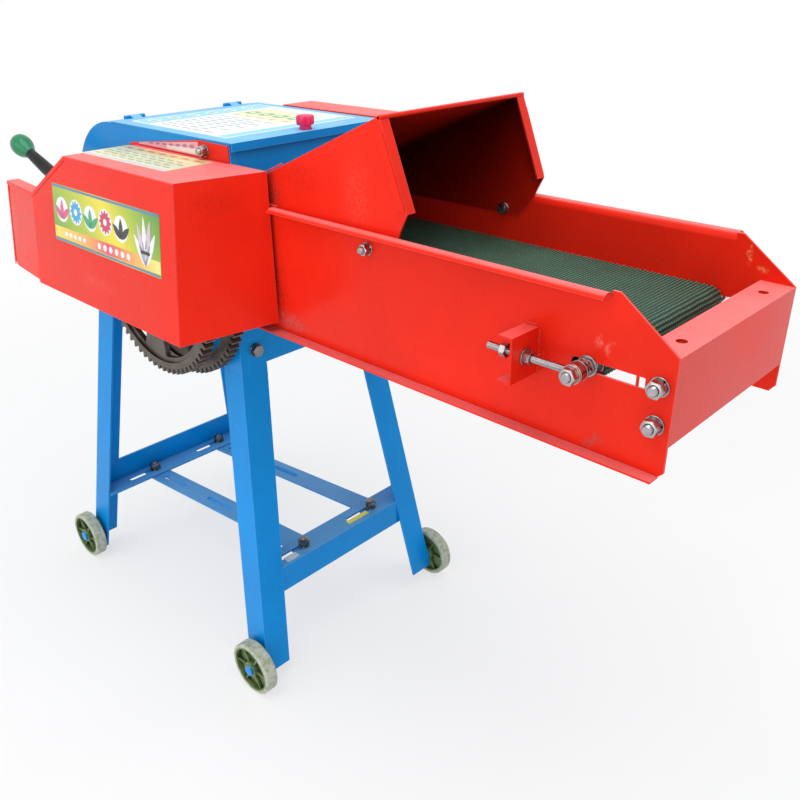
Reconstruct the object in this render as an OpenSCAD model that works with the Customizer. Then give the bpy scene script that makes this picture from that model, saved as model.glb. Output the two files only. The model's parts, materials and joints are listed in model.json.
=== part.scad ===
// Small grass shredder: a belt table feeds two fluted rollers, and a bladed rotor cuts
// against a fixed blade. All lengths are in millimetres. X runs along the machine towards
// the feed table's free end, Y across it away from the gear side, Z up from the ground.

/* [Stand] */
// Diameter of the small wheels
wheel_d = 87; // [80:1:100]
// Width of the small wheels
wheel_w = 21; // [16:1:24]
// Distance between front and rear wheel axles
wheel_base = 526; // [500:2:560]
// Distance across the stand between the wheel centres
wheel_track = 412; // [404:2:440]
// Width of one side of the leg angle
leg_w = 45; // [38:1:52]
// Wall of the leg angle
leg_t = 3; // [2.5:0.5:4]
// Half the distance between the legs' outer corners at the axles, along the machine
foot_x = 272; // [262:1:290]
// Half the distance between the legs' outer corners at the axles, across the machine
foot_y = 191; // [180:1:192]
// Half the distance between the legs' outer corners at the bend, along the machine
hip_x = 205; // [195:1:215]
// Half the distance between the legs' outer corners at the bend, across the machine
hip_y = 134; // [128:1:140]
// Height of the bend where the legs turn upright
hip_z = 508; // [480:1:520]
// Height of the cut lower end of the legs
foot_z = 24; // [15:1:30]
// Diameter of the welded wheel axles
axle_d = 12; // [10:1:14]
// Height of the top of the upper frame
frame_z = 586; // [570:1:600]
// Depth of the upper frame's webs
frame_web = 74; // [60:1:90]
// Width of the upper frame's top flange
frame_flange = 40; // [30:1:45]
// Wall of the upper frame
frame_t = 4; // [3:0.5:5]
// Width of the cross bar angle
bar_w = 45; // [40:1:50]
// Wall of the cross bar angle
bar_t = 3; // [2.5:0.5:4]
// Height of the lower edge of the cross bars
bar_z = 140; // [120:1:170]
// Y of the motor rail on the gear side
rail_near_y = -66; // [-76:1:-56]
// Y of the motor rail on the pulley side
rail_far_y = 87; // [77:1:95]
// Width of a motor rail
rail_w = 40; // [36:1:46]
// Depth of the motor rail's side flange
rail_lip = 24; // [16:1:30]

/* [Casing] */
// Y of the middle of casing and feed table
body_y = 19.5; // [15:0.5:24]
// Clear width between the casing plates
throat_w = 261; // [240:1:280]
// Thickness of the casing side plates
plate_t = 6; // [5:0.5:8]
// Radius of the rounded rear of the casing
case_r = 122; // [118:1:126]
// X of the centre of the casing's rounded rear
case_x = -98; // [-104:1:-94]
// Height of the rotor axis above the upper frame
rotor_up = 117; // [114:1:120]
// Radius that the rotor's blade edges run on
knife_r = 105; // [96:1:108]
// Sheet thickness of the casing wrap, lid and covers
sheet_t = 2; // [1.5:0.5:3]
// X of the casing's front wall
front_x = 205; // [203:1:208]
// Gap between a rotor blade edge and the fixed blade
knife_gap = 1; // [0.5:0.25:2]

/* [Feed rollers] */
// X of the feed roller axes
feed_x = 95; // [93:1:96]
// Height of the lower feed roller axis above the upper frame
feed_up = 57; // [55:1:59]
// Radius of the lower feed roller over its flutes
lower_r = 40; // [36:0.5:40]
// Radius of the upper feed roller over its flutes
upper_r = 38; // [34:0.5:38]
// Number of flutes on each feed roller
flutes = 12; // [8:1:16]
// Lift of the floating upper feed roller
float_lift = 6; // [4:0.5:6.5]
// Diameter of the main shaft
main_d = 35; // [30:1:38]
// Diameter of the feed roller shafts
feed_d = 28; // [25:1:30]

/* [Gears] */
// Module of the speed gears
gear_m = 4; // [4:1:4]
// Teeth of the outer large gear
outer_teeth = 69; // [69:1:69]
// Teeth of the inner large gear
inner_teeth = 74; // [74:1:74]
// Teeth of the outer pinion
outer_pinion = 23; // [23:1:23]
// Teeth of the inner pinion
inner_pinion = 18; // [18:1:18]
// Pressure angle of all gears
pressure = 20; // [20:1:22]
// Share of the tooth thickness taken off for backlash
backlash = 0.1; // [0.06:0.02:0.16]
// Face width of the large gears
gear_w = 16; // [14:1:17]
// Stroke of the dog clutch to neutral
clutch_stroke = 4.5; // [4.4:0.1:4.8]

/* [Gear cover] */
// Height of the gear cover's top above the upper frame
cover_rise = 215; // [209:1:220]
// Height of the gear cover's lower edge above the upper frame
cover_foot = 16; // [10:1:22]
// Distance of the cover's face from the casing plate at the top edge
cover_depth = 116; // [112:1:120]
// How far the cover's face leans out at its lower edge
cover_lean = 23; // [18:1:28]

/* [Feed table] */
// X of the free end of the feed table
table_end = 838; // [800:1:860]
// Height of the side plates' upper edge above the upper frame
side_up = 172; // [166:1:176]
// Wall of the feed table's side plates
side_t = 2.5; // [2:0.5:3]
// Height of the belt's upper surface above the upper frame
belt_up = 109; // [106:1:114]
// Thickness of the belt
belt_t = 3; // [2:0.5:4]
// Radius of the belt's drive roller
drive_r = 22; // [20:1:24]
// X of the drive roller axis
drive_x = 165; // [162:1:168]
// X of the tension roller axis
tail_x = 747.5; // [740:0.5:755]
// Radius of the tension roller
tail_r = 14; // [12:1:16]
// Diameter of the tension axle
tail_d = 10; // [8:1:10]
// Length of the tension slot
slot_len = 83; // [75:1:85]
// Height of the end box's top above the upper frame
end_up = 125; // [122:1:128]
// Height of the end box's lower edge above the upper frame
end_foot = 35; // [24:1:54]
// Depth of the end box's top along the machine
end_depth = 38; // [30:1:40]
// Distance between the two holes in the end box
end_hole_pitch = 181; // [150:1:190]
// Radius of the two holes in the end box
end_hole_r = 5.5; // [4:0.5:7]
// Height of the hood's front upper edge above the upper frame
hood_rise = 296; // [274:1:309]
// X of the hood's front upper edge
hood_x = 468; // [450:1:480]

/* [Lever] */
// Length of the shift lever from its pivot to its ball
lever_len = 168; // [150:1:175]
// Diameter of the lever's ball
ball_d = 34; // [28:1:38]

/* [Hidden] */
$fn = 48;

// Clearances
hole_gap = 0.5;
run_gap = 0.05;
side_gap = 0.6;

// Colours
blue = [0.08, 0.46, 0.80];
red = [0.88, 0.16, 0.11];
steel = [0.72, 0.72, 0.74];
iron = [0.27, 0.24, 0.22];
dark = [0.10, 0.10, 0.10];

// Heights that rise with the upper frame
rotor_z = frame_z + rotor_up;
feed_z = frame_z + feed_up;
cover_top = frame_z + cover_rise;
cover_low = frame_z + cover_foot;
belt_z = frame_z + belt_up;
table_top = frame_z + side_up;
end_top = frame_z + end_up;
end_low = frame_z + end_foot;
hood_top = frame_z + hood_rise;

// Derived places of the stand
axle_z = wheel_d / 2;
wheel_y = wheel_track / 2;
axle_x = wheel_base / 2;
leg_top = frame_z - frame_t - 2;
lean_x = foot_x - hip_x;
lean_y = foot_y - hip_y;
leg_rise = hip_z - axle_z;
leg_run = sqrt(lean_x * lean_x + lean_y * lean_y + leg_rise * leg_rise);
frame_x = hip_x - leg_t;
frame_y = hip_y - leg_t;
function corner_x(z) = hip_x + lean_x * (hip_z - z) / leg_rise;
function corner_y(z) = hip_y + lean_y * (hip_z - z) / leg_rise;
bar_mid = bar_z + bar_w / 2;
bar_x = corner_x(bar_mid) - leg_t - 0.4;
rail_t = 3;
rail_foot = bar_w - bar_t - 1;
rail_end = bar_x - bar_t - 2;
rail_rise = bar_w - bar_t;
rail_slope = atan2(rail_rise, 2 * (rail_end - rail_foot));
slot_w = 10.5;
bolt_d = 10;
small_bolt = 8;
small_hole = small_bolt + 2 * hole_gap;
washer_d = 20;
washer_t = 2;
nut_h = 8;
nut_af = 16;
bar_slot = 68;

// Derived places of the casing
near_in = body_y - throat_w / 2;
far_in = body_y + throat_w / 2;
near_out = near_in - plate_t;
far_out = far_in + plate_t;
speed_centre = (outer_teeth + outer_pinion) * gear_m / 2;
rotor_x = feed_x - sqrt(pow(speed_centre, 2) - pow(rotor_z - feed_z, 2));
case_top = rotor_z + case_r;
lid_z = case_top;
case_rear = case_x - case_r;
upper_m = 4;
roller_teeth = 20;
upper_z = feed_z + upper_m * roller_teeth;
foot_flange = 4;
foot_reach = frame_y - frame_flange + 2;
feed_edge = feed_z + lower_r;
wall_low = case_top - 54;

// Derived places of the gear side
outer_y0 = near_out - 80;
inner_y0 = near_out - 43;
pinion_outer_y0 = outer_y0 - 3;
pinion_inner_y0 = inner_y0 + 2;
pinion_inner_w = gear_w + 2;
pinion_gap = pinion_inner_y0 - (pinion_outer_y0 + gear_w);
jaw_h = 4.5;
jaw_gap = 0.5;
far_jaw_h = jaw_h - 1;
sleeve_core = pinion_gap - 2 * jaw_h - 2 * jaw_gap - clutch_stroke - far_jaw_h;
sleeve_r = 30;
sleeve_y0 = pinion_outer_y0 + gear_w + jaw_h + jaw_gap;
sleeve_mid = sleeve_y0 + sleeve_core / 2;
main_end = pinion_outer_y0 - 9;

// Derived places of the drive side
chain_m = 2.5;
chain_y = far_out + 10;
chain_w = 9;
far_gear_y = chain_y + chain_w + 4;
far_gear_w = 12;
feed_chain_teeth = 21;
idler_teeth = 16;
drive_chain_teeth = 15;
drive_z = belt_z - belt_t - drive_r;
pulley_y = far_out + 22;
pulley_w = 30;
pulley_r = 75;
main_far_end = pulley_y + pulley_w + 12;

// Derived places of the feed table
table_low = frame_z;
table_start = 148;
side_near = near_in;
side_far = far_in - side_t;
tail_z = belt_z - belt_t - tail_r;
slot_x0 = tail_x - tail_d / 2 - 14;
curl_start = front_x + 79;
curl_r = 9;
end_x0 = table_end - end_depth;
belt_w = throat_w - 2 * side_t - 8;
rod_y = side_near - 22;
rod_d = 8;
bracket_x = tail_x - 60.5;
diag_x = table_end - 64;

lever_tilt = 19.9;

// The whole object's footprint, whose middle is the origin
low_x = -axle_x - wheel_d / 2;
high_x = table_end;
low_y = near_out - cover_depth - cover_lean;
high_y = wheel_y + wheel_w / 2 + 4;
shift = [-(low_x + high_x) / 2, -(low_y + high_y) / 2, 0];

// Helpers
module placed() {
    translate(shift) children();
}

// A profile given as [x, z] points, extruded along Y from y0
module prism_y(points, y0, t) {
    translate([0, y0 + t, 0]) rotate([90, 0, 0]) linear_extrude(height = t) polygon(points);
}

// A two-dimensional shape in x and z, extruded along Y from y0
module plate_y(y0, t) {
    translate([0, y0 + t, 0]) rotate([90, 0, 0]) linear_extrude(height = t) children();
}

// A profile given as [y, z] points, extruded along X from x0
module prism_x(points, x0, t) {
    translate([x0, 0, 0]) rotate([90, 0, 90]) linear_extrude(height = t) polygon(points);
}

// A round bar along Y
module bar_y(x, z, y0, y1, d) {
    translate([x, y0, z]) rotate([-90, 0, 0]) cylinder(d = d, h = y1 - y0);
}

// A hexagon head or nut on the plane z = 0, growing along +Z
module hex(af, h) {
    cylinder(d = af / cos(30), h = h, $fn = 6);
}

// Bolt along -Z: its washer sits on z = 0, and the nut's washer sits at z = -grip
module bolt(d, grip, tail = 6) {
    washer = 2 * d;
    cylinder(d = washer, h = washer_t);
    translate([0, 0, washer_t]) hex(1.6 * d, 0.65 * d);
    translate([0, 0, -grip - 2 * washer_t - 0.8 * d - tail])
        cylinder(d = d, h = grip + 3 * washer_t + 0.8 * d + tail);
    translate([0, 0, -grip - washer_t]) cylinder(d = washer, h = washer_t);
    translate([0, 0, -grip - washer_t - 0.8 * d]) hex(1.6 * d, 0.8 * d);
}

// Hexagon-head screw with its washer, for a tapped hole of a depth
module screw(d, depth) {
    cylinder(d = 2 * d, h = washer_t);
    translate([0, 0, washer_t]) hex(1.6 * d, 0.65 * d);
    translate([0, 0, -depth]) cylinder(d = d, h = depth + 2 * washer_t);
}

// Slot outline of a width and a length between its round ends
module slot_2d(len, w) {
    translate([-(len - w) / 2, -w / 2]) square([len - w, w]);
    translate([-(len - w) / 2, 0]) circle(d = w);
    translate([(len - w) / 2, 0]) circle(d = w);
}

// Involute gear
function involute(a) = tan(a) * 180 / PI - a;
function half_angle(m, z, a, r) =
    let(base = m * z / 2 * cos(a), b = r <= base ? 0 : acos(base / r))
    90 / z * (1 - backlash) + involute(a) - involute(b);
function flank_radii(m, z, add, ded, a) =
    let(rb = m * z / 2 * cos(a), root = m * z / 2 - ded, low = max(rb, root + 0.2 * m))
    [root, low, m * z / 2, m * z / 2 + add / 2, m * z / 2 + add];
function tooth(m, z, k, add, ded, a) =
    let(rs = flank_radii(m, z, add, ded, a))
    concat(
        [for (i = [0:4]) let(t = 360 / z * k - half_angle(m, z, a, rs[i])) [rs[i] * cos(t), rs[i] * sin(t)]],
        [for (i = [4:-1:0]) let(t = 360 / z * k + half_angle(m, z, a, rs[i])) [rs[i] * cos(t), rs[i] * sin(t)]]
    );
function gear_outline(m, z, add, ded, a) = [for (k = [0:z - 1]) for (p = tooth(m, z, k, add, ded, a)) p];

// A gear about an axis along Y at [x, z], its first tooth turned to the angle phase from +X to +Z
module gear_y(at, m, z, y0, w, phase) {
    plate_y(y0, w) translate(at) rotate(phase) polygon(gear_outline(m, z, 0.9 * m, 1.15 * m, pressure));
}

// The direction from one axis to another, in the X-Z plane
function heading(x0, z0, x1, z1) = atan2(z1 - z0, x1 - x0);
// Phase of a gear that meshes with another whose phase is known
function mesh_phase(phase_a, z_a, z_b, dir) =
    180 + dir + 180 / z_b - (phase_a - dir) * z_a / z_b;

// Phases: every gear is in mesh at rest
speed_dir = heading(feed_x, feed_z, rotor_x, rotor_z);
outer_phase = 0;
inner_phase = 0;
pinion_outer_phase = mesh_phase(outer_phase, outer_teeth, outer_pinion, speed_dir);
pinion_inner_phase = mesh_phase(inner_phase, inner_teeth, inner_pinion, speed_dir);
roller_phase = 0;
roller_upper_phase = mesh_phase(roller_phase, roller_teeth, roller_teeth, 90);

// The idler's axis meshes with the feed chain gear and the table drive gear, below their line
link_a = chain_m * (feed_chain_teeth + idler_teeth) / 2;
link_b = chain_m * (idler_teeth + drive_chain_teeth) / 2;
link_c = norm([drive_x - feed_x, drive_z - feed_z]);
link_dir = heading(feed_x, feed_z, drive_x, drive_z);
link_ang = acos((link_a * link_a + link_c * link_c - link_b * link_b) / (2 * link_a * link_c));
idler_x = feed_x + link_a * cos(link_dir - link_ang);
idler_z = feed_z + link_a * sin(link_dir - link_ang);
idler_phase = mesh_phase(0, feed_chain_teeth, idler_teeth, link_dir - link_ang);
drive_phase = mesh_phase(idler_phase, idler_teeth, drive_chain_teeth,
    heading(idler_x, idler_z, drive_x, drive_z));

// Stand
module leg_profile(w, t) {
    polygon([[0, 0], [-w, 0], [-w, -t], [-t, -t], [-t, -w], [0, -w]]);
}

// Leans a shape drawn in the leg's own frame, whose origin is the corner at the axle
module leaned() {
    translate([foot_x, foot_y, axle_z])
        rotate([asin(lean_y / leg_run), -atan2(lean_x, leg_rise), 0])
            children();
}

module leg_shape() {
    difference() {
        union() {
            intersection() {
                leaned() translate([0, 0, -60])
                    linear_extrude(height = leg_run + 120) leg_profile(leg_w, leg_t);
                translate([0, 0, foot_z]) cube([foot_x + 40, foot_y + 40, hip_z - foot_z]);
            }
            translate([hip_x, hip_y, hip_z]) linear_extrude(height = leg_top - hip_z) leg_profile(leg_w, leg_t);
            // Welded axle with its collar and head
            bar_y(axle_x, axle_z, foot_y - 24, wheel_y + wheel_w / 2 + 4, axle_d);
            bar_y(axle_x, axle_z, foot_y - 2, wheel_y - wheel_w / 2 - side_gap, axle_d + 7);
            bar_y(axle_x, axle_z, wheel_y + wheel_w / 2 + side_gap, wheel_y + wheel_w / 2 + 4, axle_d + 5);
        }
        leg_bolt_places() cylinder(d = bolt_d + 2 * hole_gap, h = 60, center = true);
    }
}

// The bolts of one leg: one along X and one along Y, in the upright top
leg_bolt_x_at = [hip_x, hip_y - 27, frame_z - 48];
leg_bolt_y_at = [hip_x - 27, hip_y, frame_z - 30];
module leg_bolt_places() {
    translate(leg_bolt_x_at) rotate([0, 90, 0]) children();
    translate(leg_bolt_y_at) rotate([-90, 0, 0]) children();
}

module leg(sx, sy) {
    color(blue) placed() mirror([sx < 0 ? 1 : 0, 0, 0]) mirror([0, sy < 0 ? 1 : 0, 0]) leg_shape();
}

// Everything outside the inner faces of the four legs
module leg_envelope() {
    for (mx = [0, 1], my = [0, 1])
        mirror([mx, 0, 0]) mirror([0, my, 0]) leaned()
            translate([0, 0, -60]) linear_extrude(height = leg_run + 120)
                polygon([
                    [60, 60], [-leg_w, 60], [-leg_w, -leg_t], [-leg_t, -leg_t], [-leg_t, -leg_w], [60, -leg_w]
                ]);
}

module bar_slots(x) {
    for (y = [rail_near_y, rail_far_y])
        translate([x, y - bar_slot / 2 + 11, bar_z - 10])
            linear_extrude(height = bar_w + 20) rotate(90) slot_2d(bar_slot, slot_w);
}

module crossbar(sx) {
    flange_z = sx > 0 ? bar_z + bar_w - bar_t : bar_z;
    difference() {
        translate([bar_x - bar_w, -foot_y, 0]) union() {
            translate([bar_w - bar_t, 0, bar_z]) cube([bar_t, 2 * foot_y, bar_w]);
            translate([0, 0, flange_z]) cube([bar_w, 2 * foot_y, bar_t]);
        }
        leg_envelope();
        bar_slots(rail_bolt_x);
        for (m = [0, 1]) mirror([0, m, 0]) prism_x([
            [corner_y(bar_z - 5) - leg_t - 0.3, bar_z - 5], [foot_y + 9, bar_z - 5],
            [foot_y + 9, bar_z + bar_w + 5], [corner_y(bar_z + bar_w + 5) - leg_t - 0.3, bar_z + bar_w + 5]
        ], bar_x - bar_w - 1, bar_w + 2);
    }
}
rail_bolt_x = bar_x - bar_t - 19;

module crossbar_front() {
    color(blue) placed() crossbar(1);
}

module crossbar_rear() {
    color(blue) placed() mirror([1, 0, 0]) crossbar(-1);
}

// Centre line of a motor rail's top face as [x, z]: a level foot, a slope and a level foot
rail_low = bar_z;
rail_high = bar_z + bar_w - bar_t;
rail_line = [
    [-rail_end, rail_low], [-rail_end + rail_foot, rail_low],
    [rail_end - rail_foot, rail_high], [rail_end, rail_high]
];
function below(line, t) = [for (i = [len(line) - 1:-1:0]) [line[i][0], line[i][1] - t]];

module motor_rail(y) {
    difference() {
        union() {
            prism_y(concat(rail_line, below(rail_line, rail_t)), y - rail_w / 2, rail_w);
            prism_y(concat(rail_line, below(rail_line, rail_lip)), y + rail_w / 2 - rail_t, rail_t);
        }
        for (x = [-rail_bolt_x, rail_bolt_x])
            translate([x, y, bar_z - 20]) cylinder(d = slot_w, h = bar_w + 40);
        for (x = [-155, -8])
            translate([x, y, (rail_low + rail_high) / 2 + x * tan(rail_slope)]) rotate([0, -rail_slope, 0])
                translate([0, 0, -20]) linear_extrude(height = 40) slot_2d(74, slot_w);
    }
}

module motor_rail_near() {
    color(blue) placed() motor_rail(rail_near_y);
}

module motor_rail_far() {
    color(blue) placed() motor_rail(rail_far_y);
}

module upper_frame() {
    color(blue) placed() difference() {
        translate([-frame_x, -frame_y, frame_z - frame_web]) cube([2 * frame_x, 2 * frame_y, frame_web]);
        translate([-frame_x + frame_t, -frame_y + frame_t, frame_z - frame_web - 1])
            cube([2 * (frame_x - frame_t), 2 * (frame_y - frame_t), frame_web - frame_t + 1]);
        translate([-frame_x + frame_flange, -frame_y + frame_flange, frame_z - frame_web])
            cube([2 * (frame_x - frame_flange), 2 * (frame_y - frame_flange), frame_web + 1]);
        for (mx = [0, 1], my = [0, 1])
            mirror([mx, 0, 0]) mirror([0, my, 0])
                leg_bolt_places() cylinder(d = bolt_d + 2 * hole_gap, h = 60, center = true);
    }
}

// Bolts of the legs and the motor rails; the leg's bolt along Y has a low round head
module stand_bolts() {
    color(steel) placed() {
        for (mx = [0, 1], my = [0, 1]) mirror([mx, 0, 0]) mirror([0, my, 0]) {
            translate(leg_bolt_x_at) rotate([0, 90, 0]) bolt(bolt_d, leg_t + frame_t, 3);
            translate(leg_bolt_y_at) rotate([-90, 0, 0]) {
                cylinder(d = 22, h = 3.5);
                translate([0, 0, -leg_t - frame_t - 13]) cylinder(d = bolt_d, h = leg_t + frame_t + 14);
                translate([0, 0, -leg_t - frame_t - washer_t]) cylinder(d = washer_d, h = washer_t);
                translate([0, 0, -leg_t - frame_t - washer_t - nut_h]) hex(nut_af, nut_h);
            }
        }
        for (y = [rail_near_y, rail_far_y]) {
            translate([-rail_bolt_x, y, rail_low + bar_t]) bolt(bolt_d, bar_t + rail_t);
            translate([rail_bolt_x, y, rail_high + bar_t]) bolt(bolt_d, bar_t + rail_t);
        }
    }
}

// A small plastic wheel with six ribs on each side of its disc
module wheel_shape() {
    rim = 8;
    hub = 13;
    difference() {
        union() {
            rotate_extrude($fn = 96) polygon([
                [wheel_d / 2 - rim, -wheel_w / 2], [wheel_d / 2 - 2, -wheel_w / 2],
                [wheel_d / 2, -wheel_w / 2 + 2], [wheel_d / 2, wheel_w / 2 - 2],
                [wheel_d / 2 - 2, wheel_w / 2], [wheel_d / 2 - rim, wheel_w / 2]
            ]);
            cylinder(r = wheel_d / 2 - rim + 0.5, h = 4, center = true);
            cylinder(r = hub, h = wheel_w, center = true);
            for (a = [0:60:300]) rotate(a)
                translate([hub - 1, -1.5, -wheel_w / 2 + 3])
                    cube([wheel_d / 2 - rim - hub + 2, 3, wheel_w - 6]);
        }
        cylinder(d = axle_d + 2 * run_gap, h = wheel_w + 2, center = true);
    }
}

module wheel(sx, sy) {
    color([0.35, 0.42, 0.24]) placed()
        translate([sx * axle_x, sy * wheel_y, axle_z]) rotate([90, 0, 0]) wheel_shape();
}

// Casing
module casing_outline() {
    intersection() {
        union() {
            translate([case_x, rotor_z]) circle(r = case_r, $fn = 128);
            translate([case_x, frame_z]) square([front_x - case_x, case_top - frame_z]);
            translate([case_rear, frame_z]) square([case_r, rotor_z - frame_z]);
        }
        translate([case_rear, frame_z]) square([front_x - case_rear, case_top - frame_z]);
    }
}

// The window for one floating block of the upper roller
block_w = 40;
block_h = 36;
module block_window() {
    translate([feed_x - block_w / 2 - 0.2, upper_z - block_h / 2])
        square([block_w + 0.4, block_h + float_lift + 2]);
}

main_bolt_r = 44;
feed_bolt = 30;
table_bolt_low = 30;
table_bolt_high = 134;
table_bolt_in = 22;
table_bolt = [
    [table_start + table_bolt_in, frame_z + table_bolt_high], [table_start + 38, frame_z + table_bolt_low]
];

module casing_cuts() {
    translate([rotor_x, rotor_z]) circle(d = main_d + 6);
    for (a = [45:90:315])
        translate([rotor_x + main_bolt_r * cos(a), rotor_z + main_bolt_r * sin(a)]) circle(d = small_hole);
    translate([feed_x, feed_z]) circle(d = feed_d + 6);
    translate([drive_x, drive_z]) circle(d = 22);
    block_window();
    for (p = table_bolt) translate(p) circle(d = small_hole);
}

module casing_plate(y0, foot_y0, foot_y1) {
    plate_y(y0, plate_t) difference() {
        casing_outline();
        casing_cuts();
    }
    translate([case_rear, foot_y0, frame_z]) cube([front_x - case_rear, foot_y1 - foot_y0, foot_flange]);
}

module casing_plate_near() {
    color(blue) placed() difference() {
        casing_plate(near_out, near_out, -foot_reach);
        bar_y(cover_bolt_x, cover_bolt_z, near_out - 1, near_in + 1, small_hole);
        for (p = bracket_bolts) bar_y(p[0], p[1], near_out - 1, near_in + 1, small_bolt + 2 * run_gap);
    }
}

module casing_plate_far() {
    color(blue) placed() difference() {
        casing_plate(far_in, foot_reach, far_out);
        bar_y(idler_x, idler_z, far_in - 1, far_out + 1, 17);
    }
}

// Rounded rear sheet between the side plates, open below the rotor
module casing_wrap() {
    color(blue) placed() plate_y(near_in, throat_w) {
        difference() {
            translate([case_x, rotor_z]) circle(r = case_r, $fn = 128);
            translate([case_x, rotor_z]) circle(r = case_r - sheet_t, $fn = 128);
            translate([case_x, rotor_z - case_r - 1]) square([case_r + 1, 2 * case_r + 2]);
            translate([case_rear - 1, rotor_z - case_r - 1]) square([2 * case_r + 2, case_r + 1]);
        }
        translate([case_rear, frame_z + foot_flange]) square([sheet_t, rotor_z - frame_z - foot_flange]);
        translate([case_x, case_top - sheet_t]) square([12, sheet_t]);
    }
}

// Wall above the feed mouth, folded back over the upper roller
module front_wall() {
    color(blue) placed() difference() {
        prism_y([
            [front_x, case_top], [front_x - 18, case_top], [front_x - 18, case_top - sheet_t],
            [front_x - sheet_t, case_top - sheet_t], [front_x - sheet_t, wall_low + 1.5],
            [feed_x + 48, upper_z + 16], [feed_x + 48, upper_z + 13.5], [front_x, wall_low]
        ], near_in, throat_w);
        // Room for the feed table's side plates
        for (y = [near_in - 1, side_far - side_gap])
            translate([table_start - side_gap, y, upper_z])
                cube([front_x - table_start + 2, side_t + side_gap + 1, table_top + side_gap - upper_z]);
        translate([knob_x, body_y, case_top - 10]) cylinder(d = screw_d + 2, h = 20);
    }
}

knob_x = front_x - 10;
knob_d = 28;
lid_over = 1;
lid_front = front_x + 6;
hinge_d = 6;
hinge_x = case_x - 2;
hinge_z = lid_z + hinge_d / 2;
hinge_len = 34;
hinge_pin = 3;
screw_d = 8;
hinge_ys = [near_in + 22, far_in - 22 - hinge_len];

// Flat lid with a turned-down front lip, hinged on the wrap
module lid() {
    color(blue) placed() difference() {
        union() {
            prism_y([
                [case_x + 8, lid_z], [lid_front - sheet_t, lid_z], [lid_front - sheet_t, lid_z - 9],
                [lid_front, lid_z - 9], [lid_front, lid_z + sheet_t], [case_x + 8, lid_z + sheet_t]
            ], near_out - lid_over, far_out - side_gap - near_out + lid_over);
            for (y = hinge_ys) {
                bar_y(hinge_x, hinge_z, y + 9, y + hinge_len - 9, hinge_d);
                prism_y([
                    [hinge_x, hinge_z], [case_x + 9, lid_z], [case_x + 9, lid_z + sheet_t],
                    [hinge_x, hinge_z + hinge_d / 2]
                ], y + 9, hinge_len - 18);
            }
        }
        for (y = hinge_ys) bar_y(hinge_x, hinge_z, y - 1, y + hinge_len + 1, hinge_pin + 2 * run_gap);
        translate([knob_x, body_y, lid_z - 1]) cylinder(d = screw_d + 2 * run_gap, h = sheet_t + 2);
    }
}

// The fixed halves of the hinge with their pins
module lid_hinge() {
    color(blue) placed() for (y = hinge_ys) {
        difference() {
            union() {
                for (e = [0, hinge_len - 8.7]) {
                    bar_y(hinge_x, hinge_z, y + e, y + e + 8.7, hinge_d);
                    translate([hinge_x - hinge_d / 2, y + e, lid_z - 1]) cube([hinge_d, 8.7, hinge_d / 2 + 1]);
                }
                bar_y(hinge_x, hinge_z, y, y + hinge_len, hinge_pin);
            }
            bar_y(case_x, rotor_z, y - 1, y + hinge_len + 1, 2 * case_r, $fn = 128);
        }
    }
}

// Screw of the lid's knob; it reaches through the lid into the front wall's top
module lid_screw() {
    color(steel) placed() translate([knob_x, body_y, case_top - 9]) cylinder(d = screw_d, h = 9 + sheet_t + 16);
}

module lid_knob() {
    foot_h = 6;
    star_h = 15;
    lobe_r = 4;
    color([0.90, 0.20, 0.42]) placed() translate([knob_x, body_y, lid_z + sheet_t]) difference() {
        union() {
            cylinder(d = knob_d * 0.6, h = foot_h + 1);
            translate([0, 0, foot_h]) linear_extrude(height = star_h) {
                circle(r = knob_d / 2 - lobe_r + 1);
                for (a = [0:60:300]) rotate(a) translate([knob_d / 2 - lobe_r, 0]) circle(r = lobe_r);
            }
        }
        translate([0, 0, -1]) cylinder(d = screw_d, h = 17);
    }
}

// Fixed cutting edge
blade_edge = rotor_x + sqrt(pow(knife_r + knife_gap, 2) - pow(rotor_z - feed_edge, 2));
bar_front = feed_x - lower_r - 2;
module shear_bar() {
    color(blue) placed() prism_y([
        [blade_edge + 12, feed_edge - 5], [blade_edge + 12, feed_edge - 13], [bar_front - 12, feed_edge - 13],
        [bar_front - 12, feed_z - 18], [bar_front, feed_z - 18], [bar_front, feed_edge - 5]
    ], near_in, throat_w);
}

module ledger_blade() {
    color(steel) placed() prism_y([
        [blade_edge, feed_edge], [blade_edge + 4, feed_edge - 5],
        [bar_front - 1, feed_edge - 5], [bar_front - 1, feed_edge]
    ], near_in + 1, throat_w - 2);
}

// Flanged bearing housings of the main shaft
main_flange = 76;
main_hub = 66;
module shaft_bearings() {
    color(iron) placed() for (side = [0, 1]) {
        y0 = side == 0 ? near_out - 12 : far_out;
        difference() {
            union() {
                plate_y(side == 0 ? near_out - 6 : far_out, 6) difference() {
                    translate([rotor_x - main_flange / 2, rotor_z - main_flange / 2]) square(main_flange);
                }
                bar_y(rotor_x, rotor_z, y0, y0 + 12, main_hub);
                for (a = [45:90:315]) translate([main_bolt_r * cos(a), 0, main_bolt_r * sin(a)])
                    bar_y(rotor_x, rotor_z, y0 + 1 - side, y0 + 11, 16);
            }
            bar_y(rotor_x, rotor_z, y0 - 1, y0 + 13, main_d + 2 * run_gap);
        }
    }
}

module main_shaft() {
    color(steel) placed() difference() {
        union() {
            bar_y(rotor_x, rotor_z, main_end, main_far_end, main_d);
            bar_y(rotor_x, rotor_z, near_in + 2, near_in + 8, main_d + 10);
            bar_y(rotor_x, rotor_z, far_in - 8, far_in - 2, main_d + 10);
            bar_y(rotor_x, rotor_z, main_end + 3, pinion_outer_y0 - 0.4, main_d + 14);
        }
    }
}

// Rotor: three spiders that carry three straight blades
blades = 3;
blade_w = 46;
blade_t = 6;
blade_rake = 30;
rotor_len = throat_w - 12;
spider_t = 12;
spider_ys = [body_y - rotor_len / 2 + 12, body_y - spider_t / 2, body_y + rotor_len / 2 - 12 - spider_t];
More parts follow.
